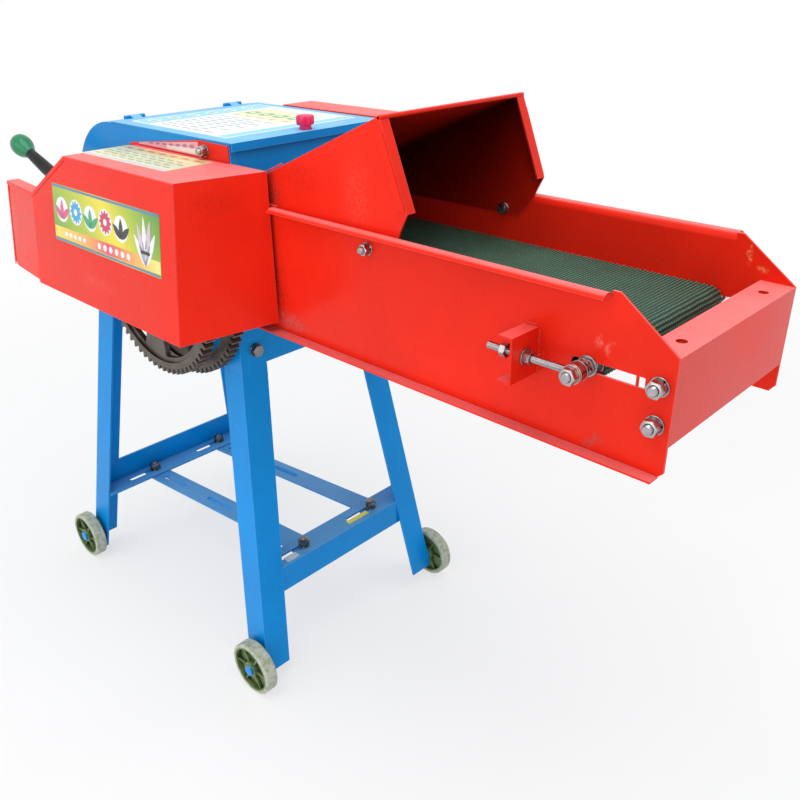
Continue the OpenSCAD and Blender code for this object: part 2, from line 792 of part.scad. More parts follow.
// Blade corners in its own frame: the edge lies on the knife circle at angle 0
rake_x = cos(90 + blade_rake);
rake_z = sin(90 + blade_rake);
blade_outer = [[knife_r, 0], [knife_r + blade_w * rake_x, blade_w * rake_z]];
blade_inner = [
    [knife_r - 9 * rake_z + 5 * rake_x, 9 * rake_x + 5 * rake_z],
    [blade_outer[1][0] - blade_t * rake_z, blade_outer[1][1] + blade_t * rake_x]
];
blade_points = [
    blade_outer[0], blade_outer[1], blade_inner[1],
    [knife_r - blade_t * rake_z + 8 * rake_x, blade_t * rake_x + 8 * rake_z]
];

module rotor() {
    seat_a = blade_points[3];
    seat_b = blade_points[2];
    color(blue) placed() difference() {
        for (y = spider_ys) plate_y(y, spider_t) translate([rotor_x, rotor_z]) {
            circle(r = 36);
            for (k = [0:blades - 1]) rotate(360 / blades * k)
                polygon([[0, -20], [seat_a[0] - 14, -4], seat_a, seat_b, [20, 44], [-14, 20]]);
        }
        bar_y(rotor_x, rotor_z, near_in, far_in, main_d + 0.1);
    }
}

module rotor_blades() {
    color(steel) placed() for (k = [0:blades - 1])
        plate_y(body_y - rotor_len / 2, rotor_len) translate([rotor_x, rotor_z]) rotate(360 / blades * k)
            polygon(blade_points);
}

// Two-groove belt pulley on the far end of the main shaft
module drive_pulley() {
    groove = 10;
    hub_r = 30;
    web_r = pulley_r - 16;
    color(iron) placed() translate([rotor_x, pulley_y, rotor_z]) rotate([-90, 0, 0]) difference() {
        union() {
            rotate_extrude($fn = 96) polygon([
                [web_r, 0], [pulley_r, 0], [pulley_r, 2.5], [pulley_r - groove, 6], [pulley_r - groove, 9],
                [pulley_r, 13], [pulley_r, 17], [pulley_r - groove, 21], [pulley_r - groove, 24],
                [pulley_r, 27.5], [pulley_r, pulley_w], [web_r, pulley_w]
            ]);
            cylinder(r = hub_r, h = pulley_w);
            translate([0, 0, pulley_w / 2 - 5]) cylinder(r = web_r + 1, h = 10);
        }
        translate([0, 0, -1]) cylinder(d = main_d + 0.1, h = pulley_w + 2);
        for (a = [0:72:288]) rotate(a) translate([(web_r + hub_r) / 2, 0, 0]) cylinder(d = 21, h = pulley_w);
    }
}

// Sheet guard over the drive side
guard_out = pulley_y + pulley_w + 8;
guard_top = case_top + 4;
guard_left = -201;
guard_lip = 20;
guard_lip_h = 60;
guard_right = front_x + 8;
guard_line = [
    [guard_right, cover_low], [guard_right, guard_top], [-20, guard_top],
    [guard_left, rotor_z + 38], [guard_left, cover_low]
];
guard_hole = [
    [guard_right - sheet_t, cover_low - 1], [guard_right - sheet_t, guard_top - sheet_t],
    [-19.5, guard_top - sheet_t], [guard_left + sheet_t, rotor_z + 36.8], [guard_left + sheet_t, cover_low - 1]
];
module pulley_guard() {
    color(red) placed() difference() {
        union() {
            difference() {
                prism_y(guard_line, far_out, guard_out - far_out);
                prism_y(guard_hole, far_out - 1, guard_out - far_out - sheet_t + 1);
            }
            // Lips that bolt to the casing plate
            translate([guard_left, far_out, cover_low]) cube([guard_lip, sheet_t, guard_lip_h]);
            translate([guard_right - guard_lip, far_out, cover_low + guard_lip_h])
                cube([guard_lip, sheet_t, guard_lip_h]);
        }
        bar_y(rotor_x, rotor_z, far_out - 1, guard_out + 1, main_d + 8);
    }
}

// Feed rollers
module fluted(r, len) {
    depth = 5;
    difference() {
        circle(r = r, $fn = 96);
        for (k = [0:flutes - 1]) rotate(360 / flutes * k)
            translate([r + 1, 0]) rotate(45) square(depth * 1.6, center = true);
    }
}

drum_gap = 6;
module lower_feed_roller() {
    color(iron) placed() {
        difference() {
            union() {
                plate_y(near_in + drum_gap, throat_w - 2 * drum_gap)
                    translate([feed_x, feed_z]) fluted(lower_r);
                bar_y(feed_x, feed_z, outer_y0 - 4, far_gear_y + far_gear_w + 3, feed_d);
                bar_y(feed_x, feed_z, near_in + 1, near_in + drum_gap + 1, feed_d + 8);
                bar_y(feed_x, feed_z, far_in - drum_gap - 1, far_in - 1, feed_d + 8);
            }
        }
    }
}

upper_shaft_d = 24;
module upper_feed_roller() {
    color(iron) placed() {
        plate_y(near_in + drum_gap + 4, throat_w - 2 * drum_gap - 8)
            translate([feed_x, upper_z]) rotate(180 / flutes) fluted(upper_r);
        bar_y(feed_x, upper_z, near_out - 8, far_gear_y + far_gear_w + 2, upper_shaft_d);
    }
}

// Sliding blocks that let the upper roller rise; each has a flange outside the plate
module upper_roller_blocks() {
    color(iron) placed() difference() {
        union() {
            for (s = [0, 1]) mirror_side(s) {
                translate([feed_x - block_w / 2, near_out - 5, upper_z - block_h / 2])
                    cube([block_w, plate_t + 5, block_h]);
                translate([feed_x - block_w / 2 - 8, near_out - 5, upper_z - block_h / 2 - 3])
                    cube([block_w + 16, 4.8, block_h + 6]);
            }
        }
        bar_y(feed_x, upper_z, near_out - 10, far_out + 10, upper_shaft_d + 2 * run_gap);
    }
}

module feed_bearings() {
    color(iron) placed() for (side = [0, 1]) {
        y0 = side == 0 ? near_out - 8 : far_out;
        difference() {
            union() {
                plate_y(y0 + (side == 0 ? 3 : 0), 5) hull() {
                    translate([feed_x, feed_z]) circle(r = 24);
                    translate([feed_x, feed_z - feed_bolt]) circle(r = 8);
                    translate([feed_x, feed_z + feed_bolt]) circle(r = 8);
                }
                bar_y(feed_x, feed_z, y0, y0 + 8, 42);
            }
            bar_y(feed_x, feed_z, y0 - 1, y0 + 9, feed_d + 2 * run_gap);
        }
        difference() {
            bar_y(drive_x, drive_z, y0, y0 + 8, 34);
            bar_y(drive_x, drive_z, y0 - 1, y0 + 9, drive_shaft_d + 2 * run_gap);
        }
    }
}
drive_shaft_d = 18;

// Gears of the drive side
module roller_gear_lower() {
    color(iron) placed() difference() {
        union() {
            gear_y([feed_x, feed_z], chain_m, feed_chain_teeth, chain_y, chain_w, 0);
            bar_y(feed_x, feed_z, chain_y + chain_w - 1, far_gear_y + 1, 42);
            gear_y([feed_x, feed_z], upper_m, roller_teeth, far_gear_y, far_gear_w, roller_phase);
        }
        bar_y(feed_x, feed_z, chain_y - 1, far_gear_y + far_gear_w + 1, feed_d + 0.1);
    }
}
module roller_gear_upper() {
    color(iron) placed() difference() {
        gear_y([feed_x, upper_z], upper_m, roller_teeth, far_gear_y, far_gear_w, roller_upper_phase);
        bar_y(feed_x, upper_z, far_gear_y - 1, far_gear_y + far_gear_w + 1, upper_shaft_d + 0.1);
    }
}

idler_d = 16;
module idler_gear() {
    color(iron) placed() difference() {
        gear_y([idler_x, idler_z], chain_m, idler_teeth, chain_y, chain_w, idler_phase);
        bar_y(idler_x, idler_z, chain_y - 1, chain_y + chain_w + 1, idler_d + 2 * run_gap);
    }
}

module idler_stud() {
    color(steel) placed() {
        bar_y(idler_x, idler_z, far_in, chain_y + chain_w + 3, idler_d);
        bar_y(idler_x, idler_z, far_out, chain_y - 0.5, idler_d + 8);
        bar_y(idler_x, idler_z, chain_y + chain_w + 0.5, chain_y + chain_w + 3, idler_d + 4);
    }
}

module table_drive_gear() {
    color(iron) placed() difference() {
        gear_y([drive_x, drive_z], chain_m, drive_chain_teeth, chain_y, chain_w, drive_phase);
        bar_y(drive_x, drive_z, chain_y - 1, chain_y + chain_w + 1, drive_shaft_d + 0.1);
    }
}

// The pair of large gears on the lower feed roller's shaft, with rims, spokes and a hub
module spoked_gear(teeth, y0, phase) {
    rim_r = gear_m * teeth / 2 - 1.15 * gear_m - 9;
    difference() {
        gear_y([0, 0], gear_m, teeth, y0, gear_w, phase);
        bar_y(0, 0, y0 - 1, y0 + gear_w + 1, 2 * rim_r);
    }
    difference() {
        union() {
            bar_y(0, 0, y0 + 4, y0 + gear_w - 4, 2 * rim_r + 1);
            bar_y(0, 0, y0, y0 + gear_w, 72);
        }
        for (a = [0:72:288]) plate_y(y0 - 1, gear_w + 2) rotate(a + 10) gear_window(rim_r);
    }
}

// One window between two spokes
module gear_window(rim_r) {
    intersection() {
        difference() {
            circle(r = rim_r - 7, $fn = 96);
            circle(r = 44);
        }
        translate([14, 0])
            polygon([[0, 0], [200 * cos(26), -200 * sin(26)], [300, 0], [200 * cos(26), 200 * sin(26)]]);
    }
}

module large_gears() {
    color(iron) placed() difference() {
        translate([feed_x, 0, feed_z]) {
            spoked_gear(outer_teeth, outer_y0, outer_phase);
            spoked_gear(inner_teeth, inner_y0, inner_phase);
            bar_y(0, 0, outer_y0 + gear_w - 1, inner_y0 + 1, 60);
        }
        bar_y(feed_x, feed_z, outer_y0 - 1, inner_y0 + gear_w + 1, feed_d + 0.1);
    }
}

// A ring of three jaws about the main shaft, turned by half a jaw pitch for the mating ring
jaw_in = main_d / 2 + 2;
jaw_out = 27;
module jaws(y0, h, turn) {
    plate_y(y0, h) translate([rotor_x, rotor_z]) difference() {
        circle(r = jaw_out);
        circle(r = jaw_in);
        for (a = [0:120:240]) rotate(a + turn)
            polygon([[0, 0], [60 * cos(32), -60 * sin(32)], [60 * cos(32), 60 * sin(32)]]);
    }
}

module pinion(teeth, y0, w, phase, jaw_y) {
    difference() {
        union() {
            gear_y([rotor_x, rotor_z], gear_m, teeth, y0, w, phase);
            jaws(jaw_y, jaw_h + 0.5, 0);
        }
        bar_y(rotor_x, rotor_z, y0 - 10, y0 + w + 10, main_d + 2 * run_gap);
    }
}

module pinion_outer() {
    jaw_y = pinion_outer_y0 + gear_w - 0.5;
    color(iron) placed() pinion(outer_pinion, pinion_outer_y0, gear_w, pinion_outer_phase, jaw_y);
}

module pinion_inner() {
    jaw_y = pinion_inner_y0 - jaw_h;
    color(iron) placed() pinion(inner_pinion, pinion_inner_y0, pinion_inner_w, pinion_inner_phase, jaw_y);
}

// Sliding sleeve of the dog clutch; at rest its jaws lie between the outer pinion's
jaw_turn = 60;
module clutch_sleeve() {
    color(iron) placed() difference() {
        union() {
            bar_y(rotor_x, rotor_z, sleeve_y0, sleeve_y0 + sleeve_core, 2 * sleeve_r);
            jaws(sleeve_y0 - jaw_h, jaw_h + 0.5, jaw_turn);
            jaws(sleeve_y0 + sleeve_core - 0.5, far_jaw_h + 0.5, jaw_turn);
        }
        bar_y(rotor_x, rotor_z, sleeve_y0 - 10, sleeve_y0 + sleeve_core + 10, main_d + 2 * run_gap);
        difference() {
            bar_y(rotor_x, rotor_z, sleeve_mid - 2.2, sleeve_mid + 2.2, 2 * sleeve_r + 2);
            bar_y(rotor_x, rotor_z, sleeve_mid - 3, sleeve_mid + 3, 2 * sleeve_r - 8);
        }
    }
}

// Shift lever. Its frame: origin at the pivot, +X from the clutch to the ball, +Z along the pivot pin
pivot_len = 52;
pivot_x = rotor_x - pivot_len * cos(lever_tilt);
pivot_z = rotor_z + pivot_len * sin(lever_tilt);
lever_y = sleeve_mid;
pin_d = 8;
module lever_frame() {
    translate([pivot_x, lever_y, pivot_z]) rotate([0, lever_tilt - 180, 0]) mirror([0, 0, 1]) children();
}

module shift_lever() {
    t = 6;
    grip = sleeve_r + 0.5;
    prong = grip + 5;
    fork = pivot_len - sleeve_r - 2;
    color(dark) placed() lever_frame() difference() {
        union() {
            // Yoke with a pin at each end that runs in the sleeve's groove
            plate_y(-t / 2, t) polygon([
                [-pivot_len - 5, prong], [-pivot_len + 18, prong], [-12, 9], [2, 9], [2, -9], [-12, -9],
                [-pivot_len + 18, -prong], [-pivot_len - 5, -prong], [-pivot_len - 5, -grip],
                [-pivot_len + 16, -grip], [-fork, -grip / 2], [-fork, grip / 2],
                [-pivot_len + 16, grip], [-pivot_len - 5, grip]
            ]);
            for (s = [-1, 1])
                mirror([0, 0, s < 0 ? 1 : 0]) translate([-pivot_len, 0, sleeve_r - 3.4])
                    cylinder(d = 3.6, h = 7);
            cylinder(d = 18, h = 18, center = true);
            rotate([0, 90, 0]) cylinder(d = 13, h = lever_len - ball_d / 2 + 4);
        }
        cylinder(d = pin_d + 2 * run_gap, h = 40, center = true);
    }
}

module lever_ball() {
    color([0.05, 0.50, 0.32]) placed() lever_frame() difference() {
        union() {
            translate([lever_len, 0, 0]) sphere(d = ball_d);
            translate([lever_len - ball_d * 0.85, 0, 0]) rotate([0, 90, 0])
                cylinder(d1 = 17, d2 = 26, h = ball_d * 0.5);
        }
        rotate([0, 90, 0]) cylinder(d = 13.04, h = lever_len - ball_d / 2 + 4.02);
    }
}

// Bracket on the casing plate with the lever's pivot pin and its guide slot
foot_left = pivot_x - 50;
foot_right = rotor_x - main_bolt_r * cos(45) - 9;
foot_t = 5;
bracket_bolts = [[foot_left + 12, pivot_z - 30], [foot_right - 12, pivot_z - 30]];
module lever_bracket() {
    reach = near_out - lever_y;
    color(dark) placed() difference() {
        union() {
            // Foot on the casing plate and a shelf that carries the pin's post
            translate([foot_left, near_out - foot_t, pivot_z - 62]) cube([foot_right - foot_left, foot_t, 44]);
            translate([foot_left, lever_y - 10, pivot_z - 46]) cube([44, reach + 8, 5]);
            lever_frame() {
                translate([0, 0, -26]) cylinder(d = 16, h = 16.7);
                translate([0, 0, -26]) cylinder(d = pin_d, h = 37.9);
                translate([0, 0, 9.3]) cylinder(d = 12, h = 2.6);
                translate([-8, -8, -50]) cube([16, 16, 26]);
            }
        }
        for (p = bracket_bolts) bar_y(p[0], p[1], near_out - foot_t - 1, near_out + 1, small_hole);
    }
}

// Gear cover
lean_slope = cover_lean / (cover_top - cover_low);
cover_y = near_out - cover_depth;
function face_y(z) = cover_y - lean_slope * (cover_top - z);
cover_left = -128;
cover_peak = -20;
cover_right = 251;
cover_flare = 278;
cover_step = cover_top - 64;
cover_tip = -240;
cover_bolt_x = 153;
cover_bolt_z = case_top - 13;
step_slope = (cover_top - cover_step) / (cover_peak - cover_left);

module cover_body(s) {
    // s is the inset of the inner surface; 0 gives the outside
    left = cover_left - (s > 0 ? 1 : 0);
    rear = near_out + (s > 0 ? 1 : -0.01);
    low = cover_low - (s > 0 ? 1 : 0);
    peak = cover_peak + s * 0.3;
    step = cover_step - s * 1.16 - (s > 0 ? step_slope : 0);
    top = cover_top - s;
    bend = [[left, low], [left, step], [peak, top]];
    face = concat(bend, [[cover_right - s, top], [cover_right + 4 - s, low]]);
    back = concat(bend, [[cover_flare - s, top], [cover_flare - s, low]]);
    hull() {
        for (p = face) translate([p[0], face_y(p[1] + (p[1] > step ? s : 0)) + s, p[1]]) point();
        for (p = back) translate([p[0], rear, p[1]]) point();
    }
}

module point() {
    cube(0.01);
}

// The wing beyond the cover's left side turns away from the face and has a round lower corner
wing_right = cover_left + 6;
wing_turn = 12 / (wing_right - cover_tip);
wing_r = 18;
module cover_wing(s) {
    low = cover_low + 4 - (s > 0 ? 5 : 0);
    top = cover_step - s;
    back = s > 0 ? 40 : 18;
    arc = [for (a = [0:18:90]) [cover_tip + s + wing_r * (1 - cos(a)), low + wing_r * (1 - sin(a))]];
    corners = [[cover_tip + s, top], [wing_right, top], [wing_right, low]];
    hull() for (p = concat(corners, arc), depth = [s, back])
        translate([p[0], face_y(p[1]) + wing_turn * (wing_right - p[0]) + depth, p[1]]) point();
}

module gear_cover() {
    color(red) placed() difference() {
        union() {
            difference() {
                union() {
                    cover_body(0);
                    cover_wing(0);
                }
                cover_body(sheet_t);
                cover_wing(sheet_t);
            }
            // Upstand against the casing plate
            prism_y([
                [-42, cover_top - 2], [-42, cover_top + 1], [cover_bolt_x - 14, case_top - 1],
                [front_x - 2, case_top - 2], [front_x - 2, cover_top - 2]
            ], near_out - sheet_t, sheet_t);
        }
        bar_y(cover_bolt_x, cover_bolt_z, near_out - 10, near_out + 1, small_hole);
    }
}

module casing_bolts() {
    color(steel) placed() {
        translate([cover_bolt_x, near_out - sheet_t, cover_bolt_z]) rotate([90, 0, 0])
            bolt(small_bolt, sheet_t + plate_t, 3);
        for (p = table_bolt) {
            translate([p[0], near_out, p[1]]) rotate([90, 0, 0]) bolt(small_bolt, plate_t + side_t, 3);
            translate([p[0], far_out, p[1]]) rotate([-90, 0, 0]) bolt(small_bolt, plate_t + side_t, 3);
        }
        for (p = bracket_bolts)
            translate([p[0], near_out - foot_t, p[1]]) rotate([90, 0, 0]) screw(small_bolt, plate_t + foot_t);
    }
}

// Feed table
hood_bolt = [hood_x - 20, frame_z + 149];
hood_rear_bolt = [front_x + 27, frame_z + 149];
end_bolts = [[table_end - 15, end_top - 31], [table_end - 15, end_top - 70]];

module side_outline() {
    difference() {
        polygon([
            [table_start, frame_z + foot_flange + 1], [front_x + 1, frame_z + foot_flange + 1],
            [front_x + 1, table_low],
            [table_end - 8, table_low], [table_end, table_low + 8], [table_end, end_top],
            [diag_x, table_top], [table_start, table_top]
        ]);
        translate([slot_x0 + slot_len / 2, tail_z]) slot_2d(slot_len, tail_d + 1);
        for (p = end_bolts) translate(p) circle(d = bolt_d + 1);
        for (p = table_bolt) translate(p) circle(d = small_hole);
        for (p = [hood_bolt, hood_rear_bolt]) translate(p) circle(d = small_hole);
        translate([drive_x, drive_z]) circle(d = 22);
    }
}

// Rolled upper edge and turned-out lower edge, drawn for a plate whose outside is at y = 0 facing -Y
curl_steps = 10;
curl_turn = 150;
function curl_arc(r) = [for (i = [0:curl_steps]) let(a = curl_turn * i / curl_steps) [r * cos(a), r * sin(a)]];
module side_edges() {
    r0 = curl_r - side_t / 2;
    r1 = curl_r + side_t / 2;
    arc = concat(curl_arc(r0), [for (i = [curl_steps:-1:0]) curl_arc(r1)[i]]);
    prism_x([for (p = arc) [p[0] - r0, p[1] + table_top - r1 - 0.01]], curl_start, diag_x - 8 - curl_start);
    prism_x([
        [side_t, table_low], [side_t, table_low + 3], [0, table_low + 3], [-2, table_low + side_t],
        [-13, table_low + side_t], [-13, table_low]
    ], front_x + 8, table_end - 6 - front_x - 8);
}

// The near side plate: its upper edge is cut away where the rolled edge takes its place
module table_side() {
    difference() {
        plate_y(side_near, side_t) side_outline();
        translate([curl_start, side_near - 1, table_top - curl_r - side_t / 2])
            cube([diag_x - 8 - curl_start, side_t + 2, 30]);
    }
    translate([0, side_near, 0]) side_edges();
}

module table_side_near() {
    color(red) placed() table_side();
}

module table_side_far() {
    color(red) placed() mirrored() table_side();
}

// Mirrors about the middle plane of the feed table
module mirrored() {
    translate([0, 2 * body_y, 0]) mirror([0, 1, 0]) children();
}

// Pan under the belt's upper run, and a floor that closes the table below
module table_bed() {
    pan_z = belt_z - belt_t - 3.5;
    pan_x = drive_x + 26;
    pan_len = tail_x - drive_x - 60;
    inner = throat_w - 2 * side_t;
    y0 = near_in + side_t;
    color(red) placed() {
        translate([pan_x, y0, pan_z]) cube([pan_len, inner, 2]);
        for (y = [y0, y0 + inner - 2]) translate([pan_x, y, pan_z - 14]) cube([pan_len, 2, 15]);
    }
}

// Belt loop round both rollers
module belt_loop(grow) {
    hull() {
        translate([drive_x, drive_z]) circle(r = drive_r + grow, $fn = 96);
        translate([tail_x, tail_z]) circle(r = tail_r + grow, $fn = 96);
    }
}

module feed_belt() {
    color([0.16, 0.36, 0.27]) placed() plate_y(body_y - belt_w / 2, belt_w) difference() {
        belt_loop(belt_t);
        belt_loop(0.3);
    }
}

module drive_roller() {
    color(steel) placed() {
        bar_y(drive_x, drive_z, body_y - belt_w / 2 - 2, body_y + belt_w / 2 + 2, 2 * drive_r);
        bar_y(drive_x, drive_z, near_out - 10, chain_y + chain_w + 3, drive_shaft_d);
    }
}

module tail_roller() {
    color(steel) placed() difference() {
        bar_y(tail_x, tail_z, body_y - belt_w / 2 - 1, body_y + belt_w / 2 + 1, 2 * tail_r);
        bar_y(tail_x, tail_z, near_in, far_in, tail_d + 2 * run_gap);
    }
}

// Axle of the tension roller, with its washers and nuts outside the side plates
module tension_axle() {
    color(steel) placed() union() {
        bar_y(tail_x, tail_z, side_near - 37, 2 * body_y - side_near + 37, tail_d);
        for (s = [0, 1]) {
            mirror_side(s) {
                bar_y(tail_x, tail_z, side_near - washer_t - 0.2, side_near - 0.2, 22);
                translate([tail_x, side_near - 2.2, tail_z]) rotate([90, 0, 0]) hex(nut_af, nut_h);
                bar_y(tail_x, tail_z, rod_y - 5 - 2, rod_y - 5, washer_d);
                translate([tail_x, rod_y - 7, tail_z]) rotate([90, 0, 0]) hex(nut_af, nut_h);
                bar_y(tail_x, tail_z, side_near + side_t + 0.2, side_near + side_t + 2.2, 18);
            }
        }
    }
}

module mirror_side(s) {
    if (s == 0) children();
    if (s == 1) mirrored() children();
}

// Threaded rods that pull the axle: an eye on the axle and a nut on each side of the bracket
rod_end = bracket_x - 43;
module tension_rods() {
    color(steel) placed() for (s = [0, 1]) mirror_side(s) difference() {
        union() {
            translate([rod_end, rod_y, tail_z]) rotate([0, 90, 0]) cylinder(d = rod_d, h = tail_x - rod_end);
            bar_y(tail_x, tail_z, rod_y - 5, rod_y + 5, 20);
            translate([bracket_x + side_t, rod_y, tail_z]) rotate([0, 90, 0]) {
                cylinder(d = 18, h = washer_t);
                translate([0, 0, washer_t]) hex(14, 7);
            }
            translate([bracket_x - 25, rod_y, tail_z]) rotate([0, 90, 0]) hex(14, 7);
        }
        bar_y(tail_x, tail_z, rod_y - 6, rod_y + 6, tail_d + 0.1);
    }
}

// Folded brackets welded to the side plates
module tension_brackets() {
    depth = 44;
    high = 50;
    lip = 15;
    color(red) placed() for (s = [0, 1]) mirror_side(s) difference() {
        translate([bracket_x - lip, side_near - depth, tail_z - high / 2]) difference() {
            cube([lip + side_t, depth, high]);
            translate([-1, -1, side_t]) cube([lip + 1, depth + 2, high - 2 * side_t]);
        }
        translate([bracket_x - 5, rod_y, tail_z]) rotate([0, 90, 0]) cylinder(d = rod_d + 4, h = 20);
    }
}

// Box that joins the side plates at the free end, with two holes in its top
module end_box() {
    inner = throat_w - 2 * side_t;
    color(red) placed() difference() {
        translate([end_x0, near_in + side_t, end_low]) cube([end_depth, inner, end_top - end_low]);
        translate([end_x0 - 1, near_in + 2 * side_t, end_low - 1])
            cube([end_depth - side_t + 1, inner - 2 * side_t, end_top - end_low - side_t + 1]);
        for (s = [-1, 1])
            translate([end_x0 + end_depth / 2, body_y + s * end_hole_pitch / 2, end_top - 10])
                cylinder(r = end_hole_r, h = 20);
        for (p = end_bolts) bar_y(p[0], p[1], near_in, far_in, bolt_d + 1);
        // Side lips stop behind the bolts
        translate([end_x0 - 1, near_in, end_low - 1]) cube([8, throat_w, end_top - end_low - 14]);
    }
}

// Bolts of the end box and the hood
module table_bolts() {
    color(steel) placed() for (s = [0, 1]) mirror_side(s) {
        for (p = end_bolts) translate([p[0], side_near, p[1]]) rotate([90, 0, 0]) bolt(bolt_d, 2 * side_t, 4);
        for (p = [hood_bolt, hood_rear_bolt])
            translate([p[0], side_near, p[1]]) rotate([90, 0, 0]) bolt(small_bolt, 2 * side_t, 4);
    }
}

// Folded hood over the feed table
hood_low = frame_z + 142;
hood_nose = [hood_x + 40, hood_low + 55];
hood_rear = front_x + 2;
hood_lip = 14;
module hood_side() {
    polygon([
        [hood_rear, hood_low], [hood_x + 4, hood_low], [hood_x + 27, hood_low + 28],
        [hood_x + 30, hood_low + 36], hood_nose,
        [hood_x, hood_top], [hood_rear, wall_low - 1]
    ]);
}

module hood() {
    y0 = near_in + side_t;
    inner = throat_w - 2 * side_t;
    color(red) placed() difference() {
        union() {
            for (y = [y0, y0 + inner - side_t]) plate_y(y, side_t) hood_side();
            prism_y([
                [hood_rear, wall_low - 1], [hood_x, hood_top],
                [hood_x + 1, hood_top - 3], [hood_rear, wall_low - 3.8]
            ], y0, inner);
            // Front lips turned inwards
            for (y = [y0, y0 + inner - hood_lip]) prism_y([
                hood_nose, [hood_x, hood_top],
                [hood_x - 2.6, hood_top - 1], [hood_nose[0] - 2.6, hood_nose[1] - 1]
            ], y, hood_lip);
        }
        for (p = [hood_bolt, hood_rear_bolt]) bar_y(p[0], p[1], near_in, far_in, small_hole);
    }
}

leg(1, -1);  // leg_front_near
leg(1, 1);  // leg_front_far
leg(-1, -1);  // leg_rear_near
leg(-1, 1);  // leg_rear_far
crossbar_front();
crossbar_rear();
motor_rail_near();
motor_rail_far();
upper_frame();
stand_bolts();
wheel(1, -1);  // wheel_front_near
wheel(1, 1);  // wheel_front_far
wheel(-1, -1);  // wheel_rear_near
wheel(-1, 1);  // wheel_rear_far
casing_plate_near();
casing_plate_far();
casing_wrap();
front_wall();
lid();
lid_hinge();
lid_screw();
lid_knob();
shear_bar();
ledger_blade();
shaft_bearings();
main_shaft();
rotor();
rotor_blades();
drive_pulley();
pulley_guard();
lower_feed_roller();
upper_feed_roller();
upper_roller_blocks();
feed_bearings();
roller_gear_lower();
roller_gear_upper();
idler_gear();
idler_stud();
table_drive_gear();
large_gears();
pinion_outer();
pinion_inner();
clutch_sleeve();
shift_lever();
lever_ball();
lever_bracket();
gear_cover();
casing_bolts();
table_side_near();
table_side_far();
table_bed();
feed_belt();
drive_roller();
tail_roller();
tension_axle();
tension_rods();
tension_brackets();
end_box();
hood();
table_bolts();
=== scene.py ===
"""Looks of a small belt-fed grass shredder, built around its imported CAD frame."""

import json
import math
import random

import bmesh
import bpy
from mathutils import Matrix, Vector


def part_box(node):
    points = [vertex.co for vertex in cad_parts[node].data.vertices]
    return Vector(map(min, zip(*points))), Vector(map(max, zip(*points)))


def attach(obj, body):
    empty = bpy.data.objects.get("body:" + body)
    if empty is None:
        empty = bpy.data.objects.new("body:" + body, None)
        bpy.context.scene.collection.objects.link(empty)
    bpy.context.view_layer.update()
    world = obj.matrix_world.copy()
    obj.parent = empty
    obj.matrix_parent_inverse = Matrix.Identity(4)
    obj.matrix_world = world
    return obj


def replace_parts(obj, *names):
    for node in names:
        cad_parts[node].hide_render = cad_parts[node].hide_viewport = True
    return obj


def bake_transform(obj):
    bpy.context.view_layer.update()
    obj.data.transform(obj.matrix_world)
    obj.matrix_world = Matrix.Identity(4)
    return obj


bl_info = {
    "name": "Grass shredder looks",
    "version": (1, 0, 0),
    "blender": (4, 5, 0),
    "location": "View3D > Sidebar > Shredder",
    "description": "Paint, castings, fasteners, belt and labels of a small grass shredder",
    "category": "Object",
}

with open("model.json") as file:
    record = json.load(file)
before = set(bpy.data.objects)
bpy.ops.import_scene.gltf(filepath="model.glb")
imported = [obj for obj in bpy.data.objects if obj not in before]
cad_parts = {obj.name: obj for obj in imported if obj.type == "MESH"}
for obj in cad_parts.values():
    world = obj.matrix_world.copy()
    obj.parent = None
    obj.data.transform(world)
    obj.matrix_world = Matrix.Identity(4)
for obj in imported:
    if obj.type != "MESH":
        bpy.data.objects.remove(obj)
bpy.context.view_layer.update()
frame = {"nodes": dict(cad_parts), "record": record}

# The machine was measured in millimetres from the middle of its stand; this moves it to the frame's origin
STAND_MIDDLE = Vector((265.75, -17.75, 0.0))


def at(x, y, z):
    """A place measured in millimetres from the middle of the stand, as metres in the frame."""
    return (Vector((x, y, z)) - STAND_MIDDLE) / 1000


# Places that the looks share with the CAD, in stand millimetres: the table's middle and sides, the rollers'
# axes in X and Z, and the gear cover's leaning face with the wing on its left
BODY_Y, NEAR_SIDE, FAR_SIDE = 19.5, -111, 150
DRIVE_AXIS, TAIL_AXIS = (165, 670), (747.5, 678)
FACE_Y, FACE_TOP, FACE_LEAN = -233.0, 801.0, 23 / 199
WING_RIGHT, WING_TURN = -122.0, 12 / 118


def face_y(z):
    """Y of the gear cover's leaning face at a height."""
    return FACE_Y - FACE_LEAN * (FACE_TOP - z)


COLOUR = {"subtype": "COLOR", "size": 3, "min": 0, "max": 1}
LENGTH = {"unit": "LENGTH", "precision": 4}


class ShredderPaints(bpy.types.PropertyGroup):
    """Colours of the paints and plastics"""

    table_red: bpy.props.FloatVectorProperty(
        name="Table red", description="Enamel of the table, hood and covers", default=(0.80, 0.020, 0.007), **COLOUR)
    casing_blue: bpy.props.FloatVectorProperty(
        name="Casing blue", description="Enamel of the stand and casing", default=(0.002, 0.26, 0.70), **COLOUR)
    belt_green: bpy.props.FloatVectorProperty(
        name="Belt green", description="Rubber of the feed belt", default=(0.070, 0.172, 0.110), **COLOUR)
    wheel_olive: bpy.props.FloatVectorProperty(
        name="Wheel olive", description="Moulded plastic of the wheels", default=(0.145, 0.215, 0.070), **COLOUR)
    ball_green: bpy.props.FloatVectorProperty(
        name="Ball green", description="Plastic of the lever's ball", default=(0.003, 0.20, 0.080), **COLOUR)
    knob_pink: bpy.props.FloatVectorProperty(
        name="Knob pink", description="Plastic of the lid's knob", default=(0.80, 0.022, 0.12), **COLOUR)


